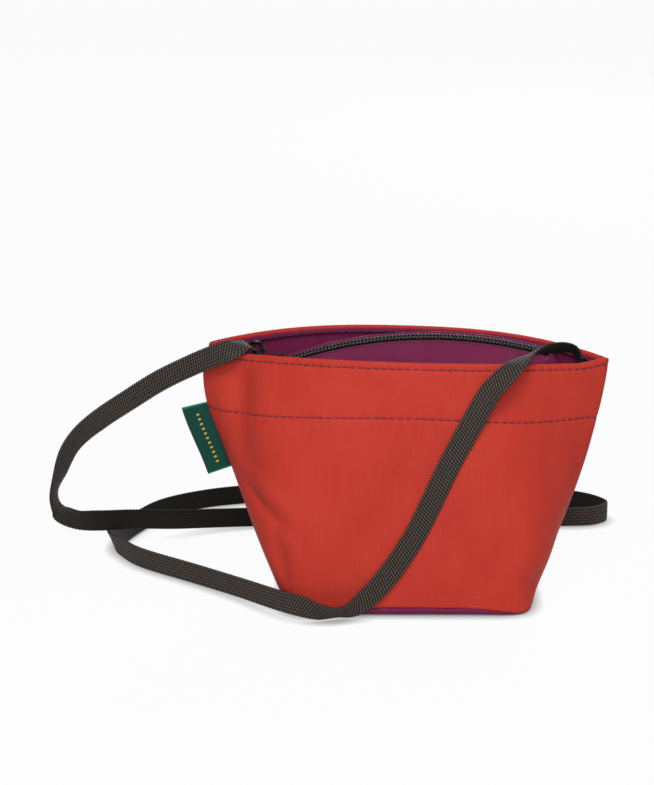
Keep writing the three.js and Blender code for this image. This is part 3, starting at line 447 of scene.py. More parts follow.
def strap_line(step):
    """The strap's run, middle points, headings and width directions, at even steps in millimetres"""
    middle = np.array([p for p, _ in STRAP_ROUTE]) / MM
    width = np.array([w for _, w in STRAP_ROUTE])
    knots = [np.vstack([2 * a[0] - a[1], a, 2 * a[-1] - a[-2]]) for a in (middle, width)]
    t = np.linspace(0, 1, SPLINE_STEPS, endpoint=False)[:, None]
    line, turns = [], []
    for k in range(len(middle) - 1):
        p = knots[0][k:k + 4]
        gap = np.sqrt(np.maximum(np.linalg.norm(np.diff(p, axis=0), axis=1), 1e-6))
        ends = []
        for end in (0, 1):
            a, b, c = p[end:end + 3]
            before, after = gap[end:end + 2]
            ends.append(((b - a) / before - (c - a) / (before + after) + (c - b) / after) * gap[1])
        line.append(hermite(p[1], p[2], ends[0], ends[1], t))
        w = knots[1][k:k + 4]
        turns.append(hermite(w[1], w[2], (w[2] - w[0]) / 2, (w[3] - w[1]) / 2, t))
    line, turns = np.vstack(line + [middle[-1:]]), np.vstack(turns + [width[-1:]])
    run = run_along(line)
    even = np.linspace(0, run[-1], int(run[-1] / step))
    line, turns = (np.stack([np.interp(even, run, a[:, k]) for k in range(3)], 1) for a in (line, turns))
    ahead = unit(np.gradient(line, axis=0))
    turns = unit(turns - ahead * np.sum(turns * ahead, axis=1, keepdims=True))
    return even, line, ahead, turns


def between(run, start, end, fade):
    """1 from start to end, and 0 elsewhere, with soft changes"""
    return smooth(-fade, fade, run - start) * smooth(fade, -fade, run - end)


def make_strap():
    """Ribbon with rounded, looped edges and a faint lengthwise waver"""
    run, line, ahead, turns = strap_line(STRAP_STEP)
    through = np.cross(ahead, turns)
    angle = np.linspace(0, 2 * np.pi, STRAP_SIDES, endpoint=False)
    x = np.sign(np.cos(angle)) * np.abs(np.cos(angle)) ** EDGE_POWER
    y = np.sign(np.sin(angle)) * np.abs(np.sin(angle)) ** FACE_POWER
    loops = EDGE_LOOP * np.cos(2 * np.pi * run / EDGE_LOOP_PITCH)
    half = STRAP_WIDTH / 2 - EDGE_MARGIN + loops
    cup = 0.16 * np.sin(run / 31) + 0.1 * np.sin(run / 12.7 + 1)
    aside = half[:, None] * x[None, :]
    above = STRAP_THICKNESS / 2 * y[None, :] + cup[:, None] * (x[None, :] ** 2 - 0.5)
    points = line[:, None] + aside[..., None] * turns[:, None] + above[..., None] * through[:, None]
    uv = np.stack([aside + STRAP_WIDTH / 2, np.broadcast_to(run[:, None], aside.shape)], -1)
    strap = make_piece("strap_webbing", points, tube_faces(*aside.shape), STRAP_WEBBING, uv, "strap")
    # Painted shade: one face is painted darker, swapping faces between the flip runs, and both faces are
    # painted dark at the sewn end loop and at the fold on the floor, where the strap lies in shadow
    shade_flip = between(run, *SHADE_FLIP_RUNS, SHADE_FLIP_FADE)[:, None]
    shade_mask = np.where(y[None, :] > 0.1, 1 - shade_flip, shade_flip)
    end_shade = smooth(SHADED_END + SHADED_END_FADE, SHADED_END - SHADED_END_FADE, run)
    shaded_runs = end_shade + between(run, *SHADED_FOLD, SHADED_FOLD_FADE)
    shade_mask = np.maximum(shade_mask, shaded_runs[:, None])
    painted_shade = strap.data.attributes.new("painted_shade", "FLOAT", "POINT")
    painted_shade.data.foreach_set("value", shade_mask.astype(np.float32).ravel())


make_strap()


# The pouch's wall: a rounded box at the base, a pointed lens at the rim
HEIGHT, RIM_WIDTH, RIM_DEPTH, RIM_CORNER_DROP = 138.0, 214.0, 74.0, 7.0
BASE_WIDTH, BASE_DEPTH, FLARE, BELLY = 131.0, 80.0, 0.6, 2.5
RIM_TURN, RIM_SHIFT = math.radians(-6.4), -2.5
CLEARANCE, FABRIC, HEM, HEM_HEIGHT, HEM_ROUND = 0.35, 0.9, 2.1, 2.4, 1.2
FACING, FACING_HEIGHT, STRIP, TAPE = 0.7, 32.0, 0.7, 0.5
FACING_INSET, FACING_TOP, FACING_SLACK = FABRIC + CLEARANCE, 1.5, 0.25
INNER_INSET = FACING_INSET + FACING + CLEARANCE
TOP_STITCH, LOW_STITCH, LOW_STITCH_SAG = 3.4, 29.2, 3.4
FRONT, BACK = -1, 1
# Powers of the curves of a level: flatter at the base than at the rim, and squarer at the base's short sides
RIM_POWER, BASE_POWER, BASE_SIDE_POWER = {FRONT: 2.0, BACK: 2.8}, 12, 1 / 6
# An inner layer ends this many times its inset short of the rim's points
POINT_INSET = 1.8
# The rim's corners stand up, the left one more; the left seam swells below the rim and draws in at it
LEFT_CORNER_LIFT, RIGHT_CORNER_LIFT, CORNER_LIFT_POWER, CORNER_START = 5.0, 2.5, 8, 0.86
SEAM_SWELL, SWELL_RISE, SWELL_SPREAD = 4.5, 0.8, 0.17
SEAM_DRAW, DRAW_RISE = 3.7, 0.93
LEVEL_STEPS, TABLE_COLUMNS, TABLE_ROWS = 601, 481, 185
# Half the cloth's width in millimetres, for places given from -1 to 1, and the step for its slopes
HALF_GIRTH, SLOPE_STEP = 112.0, 0.012
tables = {}


def wall_level(side, across, rise, inset):
    """One level of the wall, at places from -1 at the left seam to 1 at the right one"""
    square = max(0.0, 1 - rise) ** 1.5
    width = (BASE_WIDTH + (RIM_WIDTH - BASE_WIDTH) * rise * (1 + FLARE * (1 - rise))) / 2
    width -= inset * (POINT_INSET + (1 - POINT_INSET) * square)
    depth = (BASE_DEPTH + (RIM_DEPTH - BASE_DEPTH) * rise) / 2 + BELLY * 4 * rise * (1 - rise) - inset
    front_power = RIM_POWER[side] + (BASE_POWER - RIM_POWER[side]) * square
    side_power = 1 / (1 + (BASE_SIDE_POWER - 1) * square)
    t = np.linspace(-1, 1, LEVEL_STEPS)
    along = np.sign(t) * (1 - (1 - np.abs(t)) ** side_power)
    y = -depth * np.maximum(0, 1 - np.abs(along) ** front_power) ** (1 / side_power)
    level = np.stack([width * along, y, rise * (HEIGHT - RIM_CORNER_DROP * along ** 2)], 1)
    run = run_along(level)
    x, y, z = (np.interp(across, 2 * run / run[-1] - 1, level[:, k]) for k in range(3))
    reach = np.abs(x / width)
    lift = np.where(x < 0, LEFT_CORNER_LIFT, RIGHT_CORNER_LIFT) * rise ** CORNER_LIFT_POWER
    z = z + lift * (reach ** 2 if side == BACK else smooth(CORNER_START, 1.0, reach))
    swell = SEAM_SWELL * math.exp(-((rise - SWELL_RISE) / SWELL_SPREAD) ** 2)
    swell -= SEAM_DRAW * smooth(DRAW_RISE, 1.0, rise)
    x = np.where(x < 0, x - swell * reach ** 2, x)
    y = side * (CLEARANCE / 2 - y)
    turn = RIM_TURN * rise
    return np.stack([x * math.cos(turn) - y * math.sin(turn) + RIM_SHIFT * rise,
                     x * math.sin(turn) + y * math.cos(turn), z], 1)


def sample(table, across, rise):
    """Points of a grid over across -1..1 and rise 0..1"""
    across, rise = np.broadcast_arrays(np.asarray(across, float), np.asarray(rise, float))
    rows, columns = table.shape[:2]
    r = np.clip(rise, 0, 1) * (rows - 1)
    c = (np.clip(across, -1, 1) + 1) / 2 * (columns - 1)
    r0, c0 = np.minimum(r.astype(int), rows - 2), np.minimum(c.astype(int), columns - 2)
    fr, fc = (r - r0)[..., None], (c - c0)[..., None]
    return ((table[r0, c0] * (1 - fc) + table[r0, c0 + 1] * fc) * (1 - fr)
            + (table[r0 + 1, c0] * (1 - fc) + table[r0 + 1, c0 + 1] * fc) * fr)


def wall(side, across, rise, inset=0.0):
    """Points of the plain wall, from levels that are worked out once for each inset"""
    key = (side, round(inset, 4))
    if key not in tables:
        places = np.linspace(-1, 1, TABLE_COLUMNS)
        levels = [wall_level(side, places, r, inset) for r in np.linspace(0, 1, TABLE_ROWS)]
        tables[key] = np.stack(levels)
    return sample(tables[key], across, rise)


def wall_normal(side, across, rise):
    e = SLOPE_STEP
    along = wall(side, np.clip(across + e, -1, 1), rise) - wall(side, np.clip(across - e, -1, 1), rise)
    up = wall(side, across, np.clip(rise + e, 0, 1)) - wall(side, across, np.clip(rise - e, 0, 1))
    return -side * unit(np.cross(along, up))


# Soft folds pressed into the cloth: place in millimetres from the middle and from the base, lean of the
# fold in degrees from upright, half length, half width, and depth, inwards where negative
FRONT_FOLDS = (
    (-86, 120, 0, 26, 8, -3.5), (-72, 114, 0, 24, 8, 1.0), (-78, 60, -54, 18, 5, -2.4),
    (-72, 68, -54, 20, 6, 1.3), (-70, 32, 0, 16, 5, -2.0), (-59, 35, 0, 15, 5, 1.2),
    (-4, 67, 30, 45, 12, -2.2), (-15, 124, -3, 12, 9, -1.1), (84, 84, 0, 42, 22, -5.2),
    (51, 34, 18, 16, 7, -1.6), (28, 20, 25, 14, 7, 0.7), (-45, 85, 0, 46, 16, 1.0),
    (58, 71, 10, 20, 7, -1.0), (24, 118, 2, 14, 12, 0.5), (50, 120, 6, 14, 7, -0.7),
    (8, 16, 60, 16, 6, 0.5), (75, 17, 0, 9, 11, -2.6), (-84, 82, -12, 16, 8, -1.6),
    (-64, 90, -5, 22, 9, 0.8),
)
BACK_FOLDS = (
    (-80, 116, 6, 22, 9, -1.6), (-40, 70, -12, 36, 10, -1.1), (10, 88, 16, 30, 10, 0.9),
    (44, 56, 24, 26, 8, -1.2), (84, 108, -6, 20, 8, -1.3), (-58, 26, -24, 15, 5, -1.1),
    (58, 24, 22, 15, 5, -1.1), (0, 34, 70, 22, 6, 0.8),
)
# Depths, and how far they spread, of the slight waver all over, the grooves and puckers at the stitches
# and the groove at the side seams
WAVER, FINE_WAVER = 0.28, 0.16
TOP_GROOVE, LOW_GROOVE, GROOVE_SPREAD = 0.30, 0.34, 1.0
PUCKER, PUCKER_SPREAD = 0.09, 4.2
SEAM_GROOVE, SEAM_SPREAD = 0.5, 1.1


def low_stitch(across):
    """How far the lower stitch line runs below the rim, in millimetres"""
    return LOW_STITCH + LOW_STITCH_SAG * across ** 2


def relief(side, across, rise):
    """How far the cloth stands off its plain wall, in millimetres"""
    u, v = across * HALF_GIRTH, rise * HEIGHT
    height = WAVER * np.sin(u / 13 + 1.4 * np.sin(v / 37) + side) * np.sin(v / 29 + 0.6)
    height += FINE_WAVER * np.sin(u / 5.2 + v / 19 + 2 * side) * np.sin(v / 14 + u / 33)
    for x, z, lean, length, width, depth in (FRONT_FOLDS if side == FRONT else BACK_FOLDS):
        c, s = math.cos(math.radians(lean)), math.sin(math.radians(lean))
        across_fold = (u - x) * c - (v - z) * s
        along_fold = (u - x) * s + (v - z) * c
        height = height + depth * np.exp(-(across_fold / width) ** 2 - (along_fold / length) ** 2)
    height = height * smooth(1.0, 0.9, np.abs(across)) * smooth(0.0, 9.0, v) * smooth(HEIGHT, HEIGHT - 15, v)
    for below, depth in ((TOP_STITCH, TOP_GROOVE), (low_stitch(across), LOW_GROOVE)):
        off = v - (HEIGHT - below)
        height = height - depth * np.exp(-(off / GROOVE_SPREAD) ** 2)
        pucker = np.sin(u / 0.9 + 2.0 * np.sin(u / 7.0)) + 0.7 * np.sin(u / 2.3 + side)
        height = height + PUCKER * pucker * np.exp(-(off / PUCKER_SPREAD) ** 2)
    seam = (1 - np.abs(across)) * HALF_GIRTH
    return height - SEAM_GROOVE * np.exp(-(seam / SEAM_SPREAD) ** 2)


def cloth_point(side, across, rise, inset=0.0):
    """A point of the wrinkled wall, set in by inset"""
    across, rise = np.broadcast_arrays(np.asarray(across, float), np.asarray(rise, float))
    height = relief(side, across, rise)
    return wall(side, across, rise, inset) + height[..., None] * wall_normal(side, across, rise)


def below_rim(distance):
    return 1 - distance / HEIGHT


# Base seam: its height along the sides and at the four corners, with the corners' place and spread
LIP, CORNER_LIP, LIP_CORNER, LIP_SPREAD = 4.6, 0.8, 0.63, 0.2


def lip_height(across):
    """Base seam height: the panels dip towards the ground at the four corners"""
    corner = np.exp(-((np.abs(across) - LIP_CORNER) / LIP_SPREAD) ** 2)
    return LIP + (CORNER_LIP - LIP) * corner


def spread(*stops):
    """Values that run through stops: pairs of a value and the steps that lead up to it"""
    values = [stops[0][0]]
    for value, steps in stops[1:]:
        values += np.linspace(values[-1], value, steps + 1)[1:].tolist()
    return np.array(values)


COLUMNS = 330
PLACES = np.linspace(-1, 1, COLUMNS)


def make_panel(name, side):
    """Outside cloth from the base seam to the rim, over the rounded hem and down the inside"""
    foot = (lip_height(PLACES) + CLEARANCE) / HEIGHT
    low, top = below_rim(LOW_STITCH), below_rim(TOP_STITCH)
    near = 4 / HEIGHT
    up = spread((0, 0), (low - near, 84), (low + near, 14), (top - near, 22), (below_rim(HEM_ROUND), 16))
    rows = []
    for rise in up:
        rows.append((rise + foot * (1 - rise / low) ** 3 if rise < low else np.full(COLUMNS, rise), 0.0))
    for turn in np.linspace(0, math.pi, 9)[1:]:
        rise = below_rim(HEM_ROUND * (1 - math.sin(turn)))
        rows.append((np.full(COLUMNS, rise), HEM / 2 * (1 - math.cos(turn))))
    for down in (1.6, HEM_HEIGHT - 0.3, HEM_HEIGHT):
        rows.append((np.full(COLUMNS, below_rim(down)), HEM))
    for rise in np.linspace(below_rim(HEM_HEIGHT + 0.4), 0.0, 14):
        rows.append((np.maximum(rise, foot), FABRIC))
    points = np.stack([cloth_point(side, PLACES, np.asarray(rise), inset) for rise, inset in rows])
    panel = make_cloth(name + "_panel", points, run_along(points[:, COLUMNS // 2]), RED_CLOTH)


def make_facing(name, side):
    """Plum cloth behind the hem, inside the rim"""
    columns, rows = 200, 40
    across = np.linspace(-1, 1, columns)
    top = below_rim(FACING_TOP)
    rises = np.linspace(below_rim(FACING_HEIGHT), top, rows)
    hem_foot, hem_clear = below_rim(HEM_HEIGHT + 0.6), below_rim(HEM_HEIGHT + 2.4)
    over_hem = (HEM + 0.15 - FACING_INSET) * smooth(hem_clear, hem_foot, rises)
    ripple = FACING_SLACK * np.sin(across * 31 + 2 * np.sin(across * 9) + side)
    loops = []
    for thickness, order in ((FACING, range(rows)), (0.0, range(rows)[::-1])):
        for row in order:
            rise = rises[row]
            swell = ripple * smooth(top, top - 0.09, np.array(rise))
            inset = FACING_INSET + over_hem[row] + thickness
            point = cloth_point(side, across, np.full(columns, rise), inset)
            loops.append(point + np.minimum(swell, 0.2)[:, None] * wall_normal(side, across, rise) * 0.6)
    points = np.stack(loops)
    run = np.concatenate([rises, rises[::-1]]) * HEIGHT
    facing = make_cloth(name + "_facing", points, run, PLUM_CLOTH)


# Rings of the base, from the middle of its underside round the turned-up edge to the middle of its inside:
# share of the lip's height, inset from the wall and height above the ground
BASE_RINGS = (
    (0, 60, 0), (0, 30, 0), (0, 14, 0), (0, 5, 0), (0.05, 3, 0), (0.14, 1.8, 0), (0.3, 0.9, 0),
    (0.6, 0.3, 0), (1, 0, 0), (1, 0.9, 0), (0.6, 1.3, 0.9), (0.22, 2.4, 0.9), (0, 5.9, 0.9), (0, 30, 0.9),
    (0, 60, 0.9),
)
# Past the edge, a larger inset shrinks a ring towards the middle instead, to a tenth at 60 mm
BASE_EDGE, BASE_SHRINK_FROM, BASE_SHRINK_OVER = 5.9, 6, 60


def make_base():
    """Plum base with a soft turned-up edge"""
    columns = 150
    across = np.concatenate([np.linspace(-1, 1, columns), np.linspace(1, -1, columns)])
    sides = np.repeat([FRONT, BACK], columns)
    rings = []
    for share, inset, lift in BASE_RINGS:
        height = lift + (lip_height(across) - lift) * share
        ring = np.zeros((2 * columns, 3))
        for side in (FRONT, BACK):
            here = sides == side
            ring[here] = wall(side, across[here], height[here] / HEIGHT, min(inset, BASE_EDGE))
        if inset > BASE_SHRINK_FROM:
            ring[:, :2] *= (1 - (inset - BASE_SHRINK_FROM) / BASE_SHRINK_OVER)
        ring[:, 2] = height + 0.12 * np.sin(across * 23) * share
        rings.append(ring)
    points = np.stack(rings)
    faces = tube_faces(len(rings), 2 * columns)
    base = make_piece("base_cloth", points, faces, PLUM_CLOTH, points[..., :2], "base_panel")


for panel_name, panel_side in (("front", FRONT), ("back", BACK)):
    make_panel(panel_name, panel_side)
    make_facing(panel_name, panel_side)
make_base()


# Zip: a circular arc that leans back and turns with the rim
ZIP_APEX, ZIP_RADIUS = np.array([17.0, 6.5, 138.2]), 230.0
ZIP_LEAN, ZIP_FACE = math.radians(8), math.radians(22)
ZIP_LEFT, ZIP_RIGHT = math.radians(-24.3), math.radians(13.9)
# Gap between the tapes, the strips' edges from the middle, and their length as a share of the zip's
TAPE_SLIT, STRIP_SETBACK, STRIP_REACH = 1.4, 3.2, 1.014
# Roof of cloth beside the zip: the flat part's width and share of the way out, how far the cloth then runs
# on before it bends, the foot's height above the facing's edge, the fold above it, and the reach on the wall
ROOF_FLAT, ROOF_FLAT_SHARE, ROOF_LEAD, ROOF_FOOT, ROOF_FOLD, ROOF_END = 4.4, 0.2, 6.5, 1.7, 8.0, 0.9
# Height of the slack folds in the strips
STRIP_SLACK = 1.25
CHAIN_LIFT = TAPE + CLEARANCE
# How far the coils stop short of the zip's left and right ends
ROW_START, ROW_END = 7.8, 3.2
COIL_PITCH = 1.9
turn_c, turn_s = math.cos(RIM_TURN), math.sin(RIM_TURN)
arc_side = np.array([turn_c, turn_s, 0])
arc_top = np.array([-turn_s * math.sin(ZIP_LEAN), turn_c * math.sin(ZIP_LEAN), math.cos(ZIP_LEAN)])
arc_axis = np.cross(arc_side, arc_top)
arc_centre = ZIP_APEX - ZIP_RADIUS * arc_top


def zip_frame(angle):
    """Origin, run, up and forward directions on the zip"""
    angle = np.asarray(angle, float)[..., None]
    outward = np.sin(angle) * arc_side + np.cos(angle) * arc_top
    along = np.cos(angle) * arc_side - np.sin(angle) * arc_top
    up = outward * math.cos(ZIP_FACE) + arc_axis * math.sin(ZIP_FACE)
    forward = arc_axis * math.cos(ZIP_FACE) - outward * math.sin(ZIP_FACE)
    return arc_centre + ZIP_RADIUS * outward, along, up, forward


def zip_point(angle, aside, above):
    origin, _, up, forward = zip_frame(angle)
    return origin + np.asarray(aside)[..., None] * forward + np.asarray(above)[..., None] * up


def roof(side, along, out):
    """Cloth on each side of the zip: flat beside it, then over and down to the foot of the facing"""
    along, out = np.broadcast_arrays(np.asarray(along, float), np.asarray(out, float))
    angle = ZIP_LEFT + (ZIP_RIGHT - ZIP_LEFT) * along
    outward = -side * zip_frame(angle)[3]
    edge = zip_point(angle, np.full(angle.shape, -side * TAPE_SLIT / 2), np.full(angle.shape, TAPE))
    bend = edge + ROOF_FLAT * outward
    lead = bend + ROOF_LEAD * outward
    across = ROOF_END * (2 * along - 1)
    foot_rise = below_rim(FACING_HEIGHT - ROOF_FOOT)
    foot_inset = INNER_INSET + CLEARANCE + STRIP
    foot = cloth_point(side, across, foot_rise, foot_inset)
    over = cloth_point(side, across, foot_rise + ROOF_FOLD / HEIGHT, foot_inset)
    t = np.clip((out - ROOF_FLAT_SHARE) / (1 - ROOF_FLAT_SHARE), 0, 1)[..., None]
    curve = ((1 - t) ** 3 * bend + 3 * (1 - t) ** 2 * t * lead + 3 * (1 - t) * t ** 2 * over + t ** 3 * foot)
    flat = edge + (out / ROOF_FLAT_SHARE)[..., None] * (bend - edge)
    return np.where((out <= ROOF_FLAT_SHARE)[..., None], flat, curve)


def roof_normal(side, along, out):
    e = SLOPE_STEP
    ahead = roof(side, np.minimum(along + e, 1), out) - roof(side, np.maximum(along - e, 0), out)
    outward = roof(side, along, np.minimum(out + e, 1)) - roof(side, along, np.maximum(out - e, 0))
    return -side * unit(np.cross(outward, ahead))


def strip_swell(side, along, out):
    """Slack in the cloth beside the zip: upright folds that fade towards the zip and the foot"""
    wave = np.sin(along * 26 + 2.2 * np.sin(along * 7 + side)) + 0.5 * np.sin(along * 51 + 3 * out)
    return STRIP_SLACK * wave * smooth(0.22, 0.5, out) * smooth(1.0, 0.8, out)


def make_zip_strip(name, side):
    """Plum cloth from the facing's foot up to its rounded edge beside the coil"""
    columns = 220
    along = np.linspace(0, STRIP_REACH, columns)
    first = ROOF_FLAT_SHARE * (STRIP_SETBACK - TAPE_SLIT / 2) / ROOF_FLAT
    outs = spread((1.0, 0), (0.3, 30), (first + 0.03, 12), (first, 2))
    rows = [(out, CLEARANCE) for out in outs]
    rows += [(first - 0.012, CLEARANCE + 0.2), (first - 0.012, CLEARANCE + 0.5)]
    rows += [(out, CLEARANCE + STRIP) for out in outs[::-1]]
    loops = []
    for out, height in rows:
        swell = strip_swell(side, along, np.full(columns, out)) + height
        normal = roof_normal(side, along, np.full(columns, out))
        loops.append(roof(side, along, out) + swell[:, None] * normal)
    points = np.stack(loops)
    strip = make_cloth(name + "_zip_strip", points, run_along(points[:, columns // 2]), PLUM_CLOTH)


def make_zip_tape(name, side):
    """Black tape under the coil and the edge of the strip"""
    columns = 160
    along = np.linspace(0, 1, columns)
    outs = np.linspace(0.0, 0.36, 10)
    rows = [(out, -0.02) for out in outs] + [(out, -TAPE) for out in outs[::-1]]
    points = np.stack([roof(side, along, out) + height * roof_normal(side, along, np.full(columns, out))
                       for out, height in rows])
    v = np.concatenate([outs, outs[::-1]]) * ROOF_FLAT / ROOF_FLAT_SHARE
    run = along * (ZIP_RIGHT - ZIP_LEFT) * ZIP_RADIUS
    uv = np.stack(np.broadcast_arrays(v[:, None], run[None, :]), -1)
    faces = cloth_faces(len(rows), columns)
    tape = make_piece(name + "_zip_tape_cloth", points, faces, ZIP_TAPE, uv, name + "_zip_tape")


# A row of like pieces along a line: coil turns, stitches, marks
def row_tree():
    """The tree that sets copies of a piece along a line, and the identifiers of its inputs"""
    tree = bpy.data.node_groups.new("pieces_in_a_row", "GeometryNodeTree")
    sockets = {}
    for label, kind in (("Line", "Geometry"), ("Piece", "Object"), ("Spacing", "Float"), ("Size", "Vector"),
                        ("Material", "Material")):
        socket = tree.interface.new_socket(label, in_out="INPUT", socket_type="NodeSocket" + kind)
        sockets[label] = socket.identifier
    tree.interface.new_socket("Row", in_out="OUTPUT", socket_type="NodeSocketGeometry")
    given = tree.nodes.new("NodeGroupInput").outputs
    curve = add(tree, "GeometryNodeMeshToCurve", {"Mesh": given["Line"]})
    places = add(tree, "GeometryNodeResampleCurve", {"Curve": curve, "Length": given["Spacing"]},
                 mode="LENGTH")
    up = add(tree, "GeometryNodeInputNamedAttribute", {"Name": "up"}, data_type="FLOAT_VECTOR")
    ahead = add(tree, "GeometryNodeInputTangent")
    facing = add(tree, "FunctionNodeAxesToRotation", {"Primary Axis": ahead, "Secondary Axis": up},
                 primary_axis="X", secondary_axis="Z")
    shape = add(tree, "GeometryNodeObjectInfo", {"Object": given["Piece"]}, "Geometry")
    row = add(tree, "GeometryNodeInstanceOnPoints", {
        "Points": places, "Instance": shape, "Rotation": facing, "Scale": given["Size"]})
    real = add(tree, "GeometryNodeRealizeInstances", {"Geometry": row})
    dressed = add(tree, "GeometryNodeSetMaterial", {"Geometry": real, "Material": given["Material"]})
    wire(tree, tree.nodes.new("NodeGroupOutput"), {"Row": dressed})
    return tree, sockets


ROW_TREE, ROW_SOCKETS = row_tree()


def make_row(name, lines, shape, spacing, size, material, nodes=()):
    """Copies of a shape along lines of points and up directions, all in millimetres"""
    mesh = bpy.data.meshes.new(name)
    points = np.concatenate([line for line, _ in lines]) * MM
    edges, start = [], 0
    for line, _ in lines:
        edges += [(start + k, start + k + 1) for k in range(len(line) - 1)]
        start += len(line)
    mesh.from_pydata(points.tolist(), edges, [])
    up = mesh.attributes.new("up", "FLOAT_VECTOR", "POINT")
    up.data.foreach_set("vector", np.concatenate([u for _, u in lines]).astype(np.float32).ravel())
    piece = bpy.data.objects.new(name, mesh)
    scene.collection.objects.link(piece)
    modifier = piece.modifiers.new("row", "NODES")
    modifier.node_group = ROW_TREE
    for label, value in (("Piece", shape), ("Spacing", spacing * MM), ("Size", [s * MM for s in size]),
                         ("Material", material)):
        modifier[ROW_SOCKETS[label]] = value
    plain_mesh(piece)
    piece.data.shade_smooth()
    return place_piece(piece, nodes=nodes)


def tube_shape(name, path, radii, sides=8):
    """A tube through points, closed at both ends, as a shape for rows"""
    path, radii = np.asarray(path, float), np.asarray(radii, float)
    ahead = unit(np.gradient(path, axis=0))
    across = unit(np.cross(ahead, np.array([0.0, 1.0, 0.02]) + 1e-3))
    over = np.cross(ahead, across)
    angle = np.linspace(0, 2 * np.pi, sides, endpoint=False)
    ring = np.cos(angle)[None, :, None] * across[:, None] + np.sin(angle)[None, :, None] * over[:, None]
    points = path[:, None] + radii[:, None, None] * ring
    mesh = bpy.data.meshes.new(name)
    mesh.from_pydata(points.reshape(-1, 3).tolist(), [], tube_faces(len(path), sides))
    mesh.shade_smooth()
    shape = bpy.data.objects.new(name, mesh)
    scene.collection.objects.link(shape)
    return shape


def coil_angles(side):
    """Places along the zip for one coil; the back one lies half a turn further on, so that the two mesh"""
    angle = np.linspace(ZIP_LEFT + ROW_START / ZIP_RADIUS, ZIP_RIGHT - ROW_END / ZIP_RADIUS, 240)
    return angle + COIL_PITCH / 2 / ZIP_RADIUS if side == BACK else angle


# Coil turns: each filament rises from the tape, slants towards the chain's middle and ends in a rounded
# head, short of the slot in which the slider's neck runs
TURN_PATH = ((-0.95, 2.00, 0.1), (-0.95, 2.10, 0.6), (-0.76, 1.95, 1.14), (-0.40, 1.62, 1.42),
             (0.10, 1.25, 1.46), (0.55, 0.95, 1.33), (0.80, 0.80, 0.95), (0.80, 0.72, 0.5))
TURN_RADII = (0.3, 0.42, 0.48, 0.5, 0.5, 0.5, 0.42, 0.3)
for row_name, row_side in (("front", FRONT), ("back", BACK)):
    turn_path = [(ahead, row_side * aside, above) for ahead, aside, above in TURN_PATH]
    turn_shape = tube_shape("coil_turn", turn_path, TURN_RADII)
    angles = coil_angles(row_side)
    line = zip_point(angles, np.zeros(angles.shape), np.full(angles.shape, CHAIN_LIFT))
    make_row(row_name + "_zip_coil", [(line, zip_frame(angles)[2])], turn_shape, COIL_PITCH, (1, 1, 1),
             ZIP_NYLON, nodes=(row_name + "_zip_teeth",))
    bpy.data.objects.remove(turn_shape)
    make_zip_strip(row_name, row_side)
    make_zip_tape(row_name, row_side)


# Stitches: an arched thread, one unit long and thick, that dips into the cloth at both ends
STITCH_PATH = ((-0.5, 0, -0.35), (-0.46, 0, 0.05), (-0.25, 0, 0.3), (0, 0, 0.36), (0.25, 0, 0.3),
               (0.46, 0, 0.05), (0.5, 0, -0.35))
STITCH_RADII = (0.22, 0.4, 0.5, 0.5, 0.5, 0.4, 0.22)
STITCH_PITCH, STITCH_SIZE = 4.1, (2.2, 0.58, 0.58)
ZIP_STITCH_PITCH, ZIP_STITCH_SIZE, ZIP_STITCH_ASIDE = 3.4, (2.0, 0.5, 0.5), 5.0
HEM_STITCH, HEM_STITCH_INSET, STITCH_REACH = 3.2, HEM + 0.1 + FACING, 0.972


def wall_line(side, below, inset, outward):
    """A stitch line on the wall, so far below the rim, with its normals outward or inward"""
    across = np.linspace(-STITCH_REACH, STITCH_REACH, 400)
    rise = np.broadcast_to(below_rim(below(across) if callable(below) else below), across.shape)
    up = wall_normal(side, across, rise) * outward
    return cloth_point(side, across, rise, inset), up


def strip_line(side, aside):
    """A stitch line on the zip strip, so far aside from the middle of the zip"""
    along = np.linspace(0.01, 0.99, 300)
    out = np.full(300, ROOF_FLAT_SHARE * (aside - TAPE_SLIT / 2) / ROOF_FLAT)
    up = roof_normal(side, along, out)
    lift = CLEARANCE + STRIP + strip_swell(side, along, out)
    return roof(side, along, out) + lift[:, None] * up, up


stitch_shape = tube_shape("stitch", STITCH_PATH, STITCH_RADII, 6)
both = (FRONT, BACK)
outer_lines = [wall_line(side, below, 0.0, 1) for side in both for below in (TOP_STITCH, low_stitch)]
inner_lines = [wall_line(side, HEM_STITCH, HEM_STITCH_INSET, -1) for side in both]
zip_lines = [strip_line(side, ZIP_STITCH_ASIDE) for side in both]
for row_name, lines, pitch, size in (("outer_stitches", outer_lines, STITCH_PITCH, STITCH_SIZE),
                                     ("hem_stitches", inner_lines, STITCH_PITCH, STITCH_SIZE),
                                     ("zip_stitches", zip_lines, ZIP_STITCH_PITCH, ZIP_STITCH_SIZE)):
    make_row(row_name, lines, stitch_shape, pitch, size, PURPLE_THREAD)
bpy.data.objects.remove(stitch_shape)


# Woven label caught in the left seam
LABEL_RISE, LABEL_THICKNESS, LABEL_TUCK = 0.65, 0.8, -0.9
LABEL_BEND, LABEL_RIPPLE = 0.7, 0.18
MARK_PATH = ((-0.5, 0, 0), (-0.3, 0, 0.24), (0, 0, 0.3), (0.3, 0, 0.24), (0.5, 0, 0))
MARK_RADII = (0.2, 0.42, 0.5, 0.42, 0.2)
MARK_PITCH, MARK_SIZE, MARK_ENDS = 2.5, (1.0, 2.2, 0.3), (0.14, 0.86)


